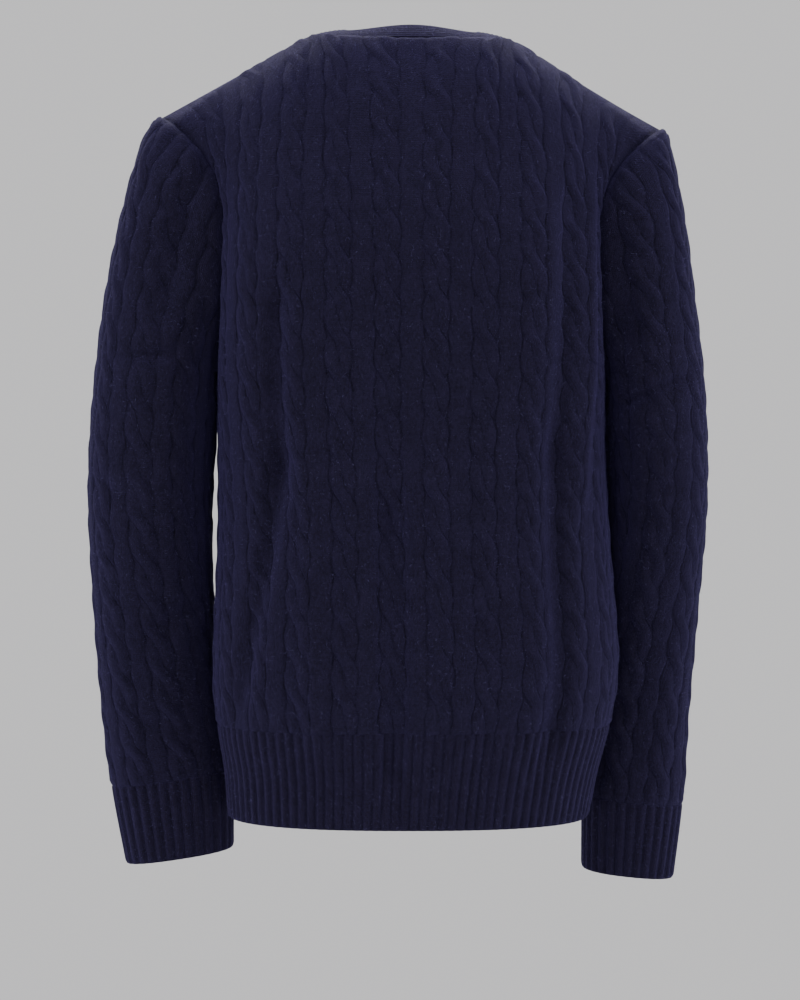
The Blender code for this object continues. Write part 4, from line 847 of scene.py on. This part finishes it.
def sleeve_form(name, form, face):
    """Half a worn sleeve, from the over-arm line to the under-arm seam or the armhole."""
    rows = SLEEVE_LEVELS[name]
    knots = [row[0] for row in rows]
    tube = np.linspace(knots[0], UNDERARM_Z, 121)
    turn = np.linspace(0, math.pi, 61)[1:]
    middle, reach = (UNDERARM_Z + SHOULDER_Z) / 2, (SHOULDER_Z - UNDERARM_Z) / 2
    z = np.concatenate([tube, middle - reach * np.cos(turn)])
    values = smooth(knots, rows, z)
    level = {column: values[:, k] for k, column in enumerate(SLEEVE_COLUMNS)}
    above = z > UNDERARM_Z
    hole_x, hole_y = armhole(z)
    edge_z, edge_points = sleeve_edge(form, face)
    edge = np.stack([np.interp(z, edge_z, edge_points[:, k]) for k in range(3)], axis=1)

    depth = np.where(z > middle, SLEEVE_FULLNESS * hole_y, level["depth"])
    inner = np.where(above, hole_x + WALL, level["inner"])
    outer = np.maximum(level["outer"], inner + 1e-4)
    centre, half = (outer + inner) / 2, (outer - inner) / 2
    power = 2.0 / SLEEVE_SQUARENESS
    share = np.where(above, hole_y / np.maximum(depth, 1e-6), 0.0)
    last = math.pi - np.arcsin(np.clip(share, 0, 1) ** (1 / power))
    around = np.linspace(0, 1, ARC_STEPS)[None, :] * last[:, None]
    cos, sin = np.cos(around), np.clip(np.sin(around), 0, 1)
    x = centre[:, None] + half[:, None] * np.sign(cos) * np.abs(cos) ** power
    y = level["y_mid"][:, None] + face * depth[:, None] * sin**power
    x = np.maximum(x, beside_body(SIDES[name], y, z[:, None]))
    plan, run = even_arc(x, y)

    tilt = CUFF_TILT[name] * smoothstep((TILT_TOP_Z - z) / TILT_FADE)
    height = z[:, None] - tilt[:, None] * (plan[..., 0] - centre[:, None])
    points = np.concatenate([plan, height[..., None]], axis=2)
    f = np.linspace(0, 1, FORM_COLUMNS + 1)
    miss = np.where(above[:, None], edge - points[:, -1], 0.0)
    points += miss[:, None, :] * (f**EDGE_PULL)[None, :, None]

    rise = np.repeat((z - knots[CUFF_SEAM_ROW])[:, None], FORM_COLUMNS + 1, axis=1)
    made = Form(points, rise, run, face)
    made.normals[:, 0, 1] = 0.0
    made.normals[~above, -1, 1] = 0.0
    made.normals[-1] = made.normals[-2]
    made.normals /= np.linalg.norm(made.normals, axis=2, keepdims=True)
    return made


SLEEVE_FORMS = {
    (name, face): sleeve_form(name, form, face)
    for name in SIDES for form, face in ((BACK_FORM, 1), (FRONT_FORM, -1))
}


def worn_sleeve(name, a, v):
    """Flat place, worn points and normals of a sleeve; a runs from -1, in front, to 1."""
    points, normals = np.empty((len(a), 3)), np.empty((len(a), 3))
    u, from_edge = np.empty(len(a)), np.empty(len(a))
    for face in (1, -1):
        mine = (a >= 0) == (face > 0)
        form = SLEEVE_FORMS[name, face]
        t = form.row_at(v[mine])
        f = np.abs(a[mine])
        points[mine], normals[mine] = form.at(f, t)
        across, _ = form.cut(f, t)
        u[mine] = face * across
        from_edge[mine] = form.cut(np.ones_like(f), t)[0] - across
    mirror = np.array([SIDES[name], 1, 1])
    return u, points * mirror, normals * mirror, from_edge


CREASE_COLUMNS = "across up length turn width depth".split()
CREASES = {
    "left": (
        (0.090, 0.356, 0.075, 4, 0.0055, -0.0041),
        (0.092, 0.338, 0.060, 8, 0.0090, 0.0022),
        (0.092, 0.450, 0.150, 88, 0.0120, -0.0046),
        (0.060, 0.245, 0.070, -24, 0.0080, -0.0024),
        (0.100, 0.140, 0.080, 30, 0.0085, -0.0030),
        (0.070, 0.050, 0.060, -12, 0.0075, -0.0024),
        (-0.085, 0.350, 0.085, -14, 0.0060, -0.0041),
        (-0.090, 0.450, 0.140, 94, 0.0120, -0.0041),
        (-0.095, 0.225, 0.070, 28, 0.0080, -0.0030),
        (-0.080, 0.090, 0.070, -18, 0.0080, -0.0027),
    ),
    "right": (
        (0.088, 0.356, 0.095, 157, 0.0050, -0.0046),
        (0.090, 0.340, 0.080, 155, 0.0085, 0.0024),
        (0.104, 0.455, 0.150, 90, 0.0130, -0.0049),
        (0.085, 0.270, 0.070, 148, 0.0080, -0.0022),
        (0.060, 0.165, 0.065, 20, 0.0080, -0.0024),
        (0.095, 0.080, 0.070, 160, 0.0080, -0.0030),
        (-0.090, 0.345, 0.085, 16, 0.0060, -0.0041),
        (-0.100, 0.450, 0.140, 86, 0.0120, -0.0041),
        (-0.085, 0.205, 0.075, 150, 0.0080, -0.0030),
        (-0.070, 0.070, 0.060, 18, 0.0080, -0.0024),
    ),
}
CREASE_FADE, CREASE_QUIET = 0.030, 0.020


def creases(name, u, v):
    """The creases of a sleeve, as a distance outward. Each is a line at a turn in degrees."""
    out = np.zeros(len(u))
    for row in CREASES[name]:
        crease = dict(zip(CREASE_COLUMNS, row, strict=True))
        turn = math.radians(crease["turn"])
        du, dv = u - crease["across"], v - crease["up"]
        along = du * math.cos(turn) + dv * math.sin(turn)
        off = dv * math.cos(turn) - du * math.sin(turn)
        window = smoothstep((crease["length"] / 2 - np.abs(along)) / CREASE_FADE)
        out += crease["depth"] * window * np.exp(-((off / crease["width"]) ** 2))
    return out


def lay_sleeve(name):
    rise = SLEEVE_FORMS[name, 1].rise[-1, 0]
    underarm = rise - (SHOULDER_Z - UNDERARM_Z)

    def lay(a, b):
        v = b * rise
        u, points, normals, from_edge = worn_sleeve(name, 2 * a - 1, v)
        quiet = smoothstep(np.minimum(from_edge, rise - v) / CREASE_QUIET)
        points += normals * (creases(name, u, v) * quiet)[:, None]
        height, place = cable_knit(u, v, SLEEVE_CABLE_START, SLEEVE_REPEAT, SIDES[name])
        head = np.where(v > underarm - UNDERARM_SEAM, np.minimum(from_edge, rise - v), 1.0)
        height *= seam_fade(v, rise - v, head)
        height -= SEAM_SINK * (1 - smoothstep(head / SEAM_SINK_REACH))
        return u, v, points, normals, height, place

    return lay


for name in SIDES:
    sleeve = knit_sheet(
        "sleeve_knit_" + name, 128, 216, SLEEVE_REPEAT, lay_sleeve(name), cable_wool)
    sew_on(*sleeve, "sleeve_" + name, "cable_knit", "draped")


# ---- cuffs -------------------------------------------------------------------------------
# The cuffs are tubes of the same rib as the hem, with thirty ribs, and hold the end of the
# sleeve to a hand's width.
CUFF_RIBS, CUFF_RIB_WIDTH = 30, 0.0075


def lay_cuff(name):
    drop = SLEEVE_LEVELS[name][CUFF_SEAM_ROW][0] - SLEEVE_LEVELS[name][0][0]

    def lay(a, b):
        v = (b - 1) * drop
        u, points, normals, _ = worn_sleeve(name, 2 * a - 1, v)
        place = a * CUFF_RIBS
        return u, v, points, normals, welt_knit(place, v, drop), place

    return lay


for name in SIDES:
    cuff = knit_sheet("cuff_rib_" + name, 240, 24, CUFF_RIB_WIDTH, lay_cuff(name), rib_wool)
    sew_on(*cuff, "cuff_" + name, "rib_knit", "stretched")


# ---- band --------------------------------------------------------------------------------
# One ribbed band, 28 mm wide, runs up the right front, round the back of the neck and down
# the left front. It is sewn on by its edge, with seven fine ribs along it, and stands up
# behind the neck. The right side lies over the left.
NECK_FRACTION = NECK_HALF / SHOULDER_HALF
BAND_WALL, BAND_CROWN, BAND_RELIEF, BAND_RIBS = 0.0025, 0.0006, 0.35, 7
BAND_LEAN_BACK, BAND_LEAN_SIDE = math.radians(52), math.radians(80)
LEAN_FROM_Z, LEAN_RISE, BAND_CENTRE_Y = -0.085, 0.075, 0.001
BAND_COLUMNS, BAND_ROWS, BAND_EASING, BAND_GAP = 18, 400, 5, 3 * SEAM
BAND_TURN, BAND_EDGE_DROP, EDGE_STEPS, NECK_STEPS = 0.08, 0.0006, 500, 101


def unit(vectors):
    """Vectors of length 1."""
    return vectors / np.maximum(np.linalg.norm(vectors, axis=1, keepdims=True), 1e-9)


def eased(vectors):
    """Unit vectors along the band, evened out over a few stations to each side."""
    weights = np.hanning(2 * BAND_EASING + 3)[1:-1]
    wide = np.pad(vectors, ((BAND_EASING, BAND_EASING), (0, 0)), mode="edge")
    return unit(np.stack([np.convolve(wide[:, k], weights, "valid") for k in range(3)], axis=1))


def sewn_edge():
    """Even stations along the edge that the band is sewn to, with normals and run."""
    top = len(FRONT_FORM.half) - 1.0
    t = np.linspace(FRONT_FORM.row_at(-HEM_HEIGHT), top, EDGE_STEPS)
    f = front_edge_fraction(t)
    neck = np.linspace(-NECK_FRACTION, NECK_FRACTION, NECK_STEPS)[1:-1]
    runs = (
        worn_front(-1.0, f, t),
        worn(BACK_FORM, 1, np.where(neck < 0, -1.0, 1.0), np.abs(neck), np.full_like(neck, top)),
        worn_front(1.0, f[::-1], t[::-1]),
    )
    points, normals = (np.concatenate([run[k] for run in runs]) for k in (2, 3))
    run = np.append(0, np.cumsum(np.linalg.norm(np.diff(points, axis=0), axis=1)))
    even = np.linspace(0, run[-1], BAND_ROWS + 1)
    points, normals = (
        np.stack([np.interp(even, run, grid[:, k]) for k in range(3)], axis=1)
        for grid in (points, normals))
    return points, eased(normals), even


def lay_band(a, b):
    """The band lies on the fronts and leans in round the neck, standing up on its seam."""
    points, normals, run = sewn_edge()
    along = eased(np.gradient(points, axis=0))
    wide = unit(np.cross(along, normals))
    radial = unit(points * (1, 1, 0) + (0, BAND_CENTRE_Y, 0))
    lean = BAND_LEAN_BACK + (BAND_LEAN_SIDE - BAND_LEAN_BACK) * radial[:, :1] ** 2
    leaning = -np.sin(lean) * radial + np.cos(lean) * np.array([0, 0, 1.0])
    near = smoothstep((points[:, 2:] - LEAN_FROM_Z) / LEAN_RISE)
    wide = wide * (1 - near) + leaning * near
    wide = unit(wide - along * np.sum(wide * along, axis=1, keepdims=True))
    wide[[0, -1], 2] = normals[[0, -1], 2] = 0.0
    wide, normals = eased(wide), unit(normals)
    thick = unit(np.cross(wide, along))
    start = points + unit(np.cross(along, normals) + wide) * BAND_GAP * (1 + 2 * near)

    k = np.rint(b * BAND_ROWS).astype(int)
    share = smoothstep(a / BAND_TURN)[:, None]
    out = unit(normals[k] * (1 - share) + thick[k] * share)
    inner = start[k] + wide[k] * (a * (BAND_WIDTH - 2 * BAND_GAP))[:, None]
    place = a * BAND_RIBS + 0.5
    edge = smoothstep(np.minimum(a, 1 - a) / BAND_TURN)
    height = BAND_WALL - WALL + BAND_CROWN * np.sin(math.pi * a)
    height = height + BAND_RELIEF * rib_knit(place) * edge - (1 - edge) * BAND_EDGE_DROP
    return a * BAND_WIDTH, run[k], inner, out, height, place


band = knit_sheet(
    "front_band_rib", BAND_COLUMNS, BAND_ROWS, BAND_WIDTH / BAND_RIBS, lay_band, rib_wool)
sew_on(*band, "front_band", "rib_knit", "stretched")


# ---- nap ---------------------------------------------------------------------------------
# Brushing lifts single fibres out of the yarn, all over the outside. They stand off the
# edges as a pale fuzz. Each is a thin spindle rooted in the wool, drawn 0.14 mm thick
# because the real ones, at 0.02 mm, are too fine to show.
FIBRES_PER_CM2, FIBRE_RADIUS, FIBRE_SHORT, FIBRE_LONG = 2.6, 0.00007, 0.0018, 0.0042
FIBRE_RISE, FIBRE_ROOT, FIBRE_SIDES = 0.7, 0.0002, (0, 2.1, 4.2)

# Single brushed wool fibres: matt, and painted paler than the yarn, as painted light standing in
# for light passing through them.
loose = bare_material("loose_wool_fibres")
solid = add_node(loose, "ShaderNodeTexCoord").outputs["Object"]
dye = add_node(loose, "ShaderNodeTexNoise", {"Vector": solid, "Scale": 300.0, "Detail": 2.0})
tint = add_node(loose, "ShaderNodeMix",
                {0: dye.outputs[0], 6: linear("#3a366c"), 7: linear("#8480b8")},
                data_type="RGBA")
shader = add_node(loose, "ShaderNodeBsdfPrincipled", {
    "Base Color": tint.outputs[2], "Roughness": 0.9, "Sheen Weight": 0.5,
    "Sheen Tint": linear("#9a86ea")})
add_node(loose, "ShaderNodeOutputMaterial", {"Surface": shader.outputs[0]})

chance = np.random.default_rng(11)
for cloth in list(bpy.data.objects):
    if "knit" not in cloth.name and "rib" not in cloth.name:
        continue
    faces = cloth.data.polygons
    outer = [face.vertices[:] for face in faces[:len(faces) // 2] if len(face.vertices) == 4]
    quad = vertex_points(cloth.data)[np.array(outer)]
    one, two = quad[:, 2] - quad[:, 0], quad[:, 3] - quad[:, 1]
    normal = np.cross(one, two)
    size = np.linalg.norm(normal, axis=1)
    count = int(size.sum() / 2 * 1e4 * FIBRES_PER_CM2)
    pick = chance.choice(len(quad), count, p=size / size.sum())
    s, t = chance.random((2, count, 1))
    quad = quad[pick]
    low = quad[:, 0] * (1 - s) + quad[:, 1] * s
    high = quad[:, 3] * (1 - s) + quad[:, 2] * s
    root = low * (1 - t) + high * t
    up = normal[pick] / size[pick, None]
    lean = unit(chance.normal(size=(count, 3)))
    length = FIBRE_SHORT + (FIBRE_LONG - FIBRE_SHORT) * chance.random((count, 1)) ** 2
    toward = unit(up * FIBRE_RISE + lean)
    toward *= np.sign(np.sum(toward * up, axis=1, keepdims=True))
    side = unit(np.cross(toward, up + 0.1 * lean))
    other = np.cross(toward, side)
    base = root - up * FIBRE_ROOT
    ring = [base + FIBRE_RADIUS * (math.cos(angle) * side + math.sin(angle) * other)
            for angle in FIBRE_SIDES]
    points = np.stack([*ring, root + toward * length], axis=1).reshape(-1, 3)
    first = 4 * np.arange(count)[:, None, None]
    faces = (first + np.array([[0, 2, 1], [0, 1, 3], [1, 2, 3], [2, 0, 3]])).reshape(-1, 3)
    nap_mesh = bpy.data.meshes.new("nap_" + cloth.name)
    nap_mesh.from_pydata(points.tolist(), [], faces.tolist())
    nap_mesh.materials.append(loose)
    nap = bpy.data.objects.new("nap_" + cloth.name, nap_mesh)
    bpy.context.scene.collection.objects.link(nap)
    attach(nap, "root")


# ---- buttons -----------------------------------------------------------------------------
# Six four-hole buttons, 18 mm across, turned from dark horn-like resin with a raised rim and
# a dished middle. Each is sewn to the left side of the band with two crossed loops of navy
# thread, and passes through an upright buttonhole in the right side.
BUTTONS, BUTTON_RADIUS, BUTTON_THICKNESS = 6, 0.0090, 0.0034
TOP_BUTTON_DROP, LOW_BUTTON_V, BUTTON_F = 0.012, -0.045, 1e-6
HOLE_OFFSET, HOLE_RADIUS, THREAD_RADIUS = 0.0025, 0.0009, 0.00042
RIM_WIDTH, DISH_SLOPE, DISH_DEPTH, RIM_ROUNDING = 0.0018, 0.0014, 0.0011, 0.0006
BUTTONHOLE_HALF, BUTTONHOLE_SPREAD, BUTTONHOLE_CORD = 0.0099, 0.16, 0.0006
THREAD_SHANK, LOOP_FLATNESS = 0.0006, 0.45

# Polished resin, cast with darker streaks like horn: a hard, slightly uneven gloss.
resin = bare_material("polished_dark_horn_resin")
solid = add_node(resin, "ShaderNodeTexCoord").outputs["Object"]
streaks = add_node(resin, "ShaderNodeTexNoise",
                   {"Vector": solid, "Scale": 260.0, "Detail": 4.0, "Distortion": 1.5})
tint = add_node(resin, "ShaderNodeMix",
                {0: streaks.outputs[0], 6: linear("#0d0d16"), 7: linear("#2c2a3a")},
                data_type="RGBA")
turning = add_node(resin, "ShaderNodeBump",
                   {"Height": streaks.outputs[0], "Strength": 0.3, "Distance": 0.0001})
shader = add_node(resin, "ShaderNodeBsdfPrincipled", {
    "Base Color": tint.outputs[2], "Roughness": 0.28, "IOR": 1.54, "Coat Weight": 0.3,
    "Coat Roughness": 0.12, "Normal": turning.outputs[0]})
add_node(resin, "ShaderNodeOutputMaterial", {"Surface": shader.outputs[0]})

# Two-ply polyester sewing thread, dyed to the wool: thin, twisted, with a dull shine.
twist = bare_material("navy_sewing_thread")
solid = add_node(twist, "ShaderNodeTexCoord").outputs["Object"]
plies = add_node(twist, "ShaderNodeTexWave",
                 {"Vector": solid, "Scale": 420.0, "Distortion": 2.0}, bands_direction="DIAGONAL")
tint = add_node(twist, "ShaderNodeMix",
                {0: plies.outputs[0], 6: linear("#101020"), 7: linear("#33304c")},
                data_type="RGBA")
relief = add_node(twist, "ShaderNodeBump",
                  {"Height": plies.outputs[0], "Strength": 0.6, "Distance": 0.0002})
shader = add_node(twist, "ShaderNodeBsdfPrincipled", {
    "Base Color": tint.outputs[2], "Roughness": 0.6, "Normal": relief.outputs[0]})
add_node(twist, "ShaderNodeOutputMaterial", {"Surface": shader.outputs[0]})

bpy.ops.object.select_all(action="DESELECT")
bpy.ops.mesh.primitive_cylinder_add(
    vertices=64, radius=BUTTON_RADIUS, depth=BUTTON_THICKNESS, end_fill_type="NGON")
disc = bpy.context.object
for face in disc.data.polygons:
    face.select = face.normal.z > 0.9
bpy.ops.object.mode_set(mode="EDIT")
bpy.ops.mesh.select_mode(type="FACE")
bpy.ops.mesh.inset(thickness=RIM_WIDTH, depth=0.0)
bpy.ops.mesh.inset(thickness=DISH_SLOPE, depth=-DISH_DEPTH)
bpy.ops.object.mode_set(mode="OBJECT")
rounding = disc.modifiers.new("rounding", "BEVEL")
rounding.width, rounding.segments, rounding.limit_method = RIM_ROUNDING, 4, "ANGLE"
rounding.angle_limit = math.radians(25)
bpy.ops.object.modifier_apply(modifier="rounding")
for k in range(4):
    angle = (2 * k + 1) * math.pi / 4
    bpy.ops.object.select_all(action="DESELECT")
    bpy.ops.mesh.primitive_cylinder_add(
        vertices=20, radius=HOLE_RADIUS, depth=2 * BUTTON_THICKNESS,
        location=(HOLE_OFFSET * math.cos(angle), HOLE_OFFSET * math.sin(angle), 0))
    drill = bpy.context.object
    bpy.context.view_layer.objects.active = disc
    hole = disc.modifiers.new("hole", "BOOLEAN")
    hole.operation, hole.object, hole.solver = "DIFFERENCE", drill, "EXACT"
    bpy.ops.object.modifier_apply(modifier="hole")
    bpy.data.objects.remove(drill)
bpy.ops.object.select_all(action="DESELECT")
disc.select_set(True)
bpy.ops.object.shade_smooth_by_angle(angle=math.radians(30))
disc.data.materials.append(resin)

loops = []
for turn in (math.pi / 4, -math.pi / 4):
    bpy.ops.object.select_all(action="DESELECT")
    bpy.ops.mesh.primitive_torus_add(
        major_radius=HOLE_OFFSET, minor_radius=THREAD_RADIUS,
        major_segments=32, minor_segments=10, rotation=(math.radians(90), 0, turn))
    loops.append(bpy.context.object)
    loops[-1].scale = (1.0, LOOP_FLATNESS, 1.0)
    bpy.ops.object.transform_apply(location=False, rotation=True, scale=True)
loops[0].select_set(True)
bpy.context.view_layer.objects.active = loops[0]
bpy.ops.object.join()
thread = bpy.context.object
bpy.ops.object.shade_smooth()
thread.data.materials.append(twist)

bpy.ops.object.select_all(action="DESELECT")
bpy.ops.mesh.primitive_torus_add(
    major_radius=BUTTONHOLE_HALF, minor_radius=BUTTONHOLE_CORD,
    major_segments=64, minor_segments=10)
slit = bpy.context.object
slit.scale = (BUTTONHOLE_SPREAD, 1.0, 1.0)
bpy.ops.object.transform_apply(location=False, rotation=False, scale=True)
bpy.ops.object.shade_smooth()
slit.data.materials.append(twist)

button_t = FRONT_FORM.row_at(np.linspace(VEE_RISE - TOP_BUTTON_DROP, LOW_BUTTON_V, BUTTONS))
_, _, button_at, button_out = worn_front(-1.0, np.full(BUTTONS, BUTTON_F), button_t)
on_band = BAND_WALL + BAND_CROWN
for k in range(BUTTONS):
    node = "button_%d" % (k + 1)
    out = Vector(button_out[k])
    turned = Vector((0, 0, 1)).rotation_difference(out).to_matrix().to_4x4()
    lift = on_band + BUTTON_THICKNESS / 2 + THREAD_SHANK
    for model, name, slot, stands in (
        (disc, node + "_disc", "button", lift),
        (thread, node + "_thread", "rib_knit", lift),
        (slit, "buttonhole_%d" % (k + 1), "rib_knit", on_band + BAND_RELIEF * RIB_HEIGHT),
    ):
        piece = bpy.data.objects.new(name, model.data.copy())
        piece.data.name = name
        bpy.context.scene.collection.objects.link(piece)
        piece.data.transform(Matrix.Translation(Vector(button_at[k]) + out * stands) @ turned)
        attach(piece, "root")
        if model is disc:
            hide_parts(node)
for model in (disc, thread, slit):
    bpy.data.objects.remove(model)
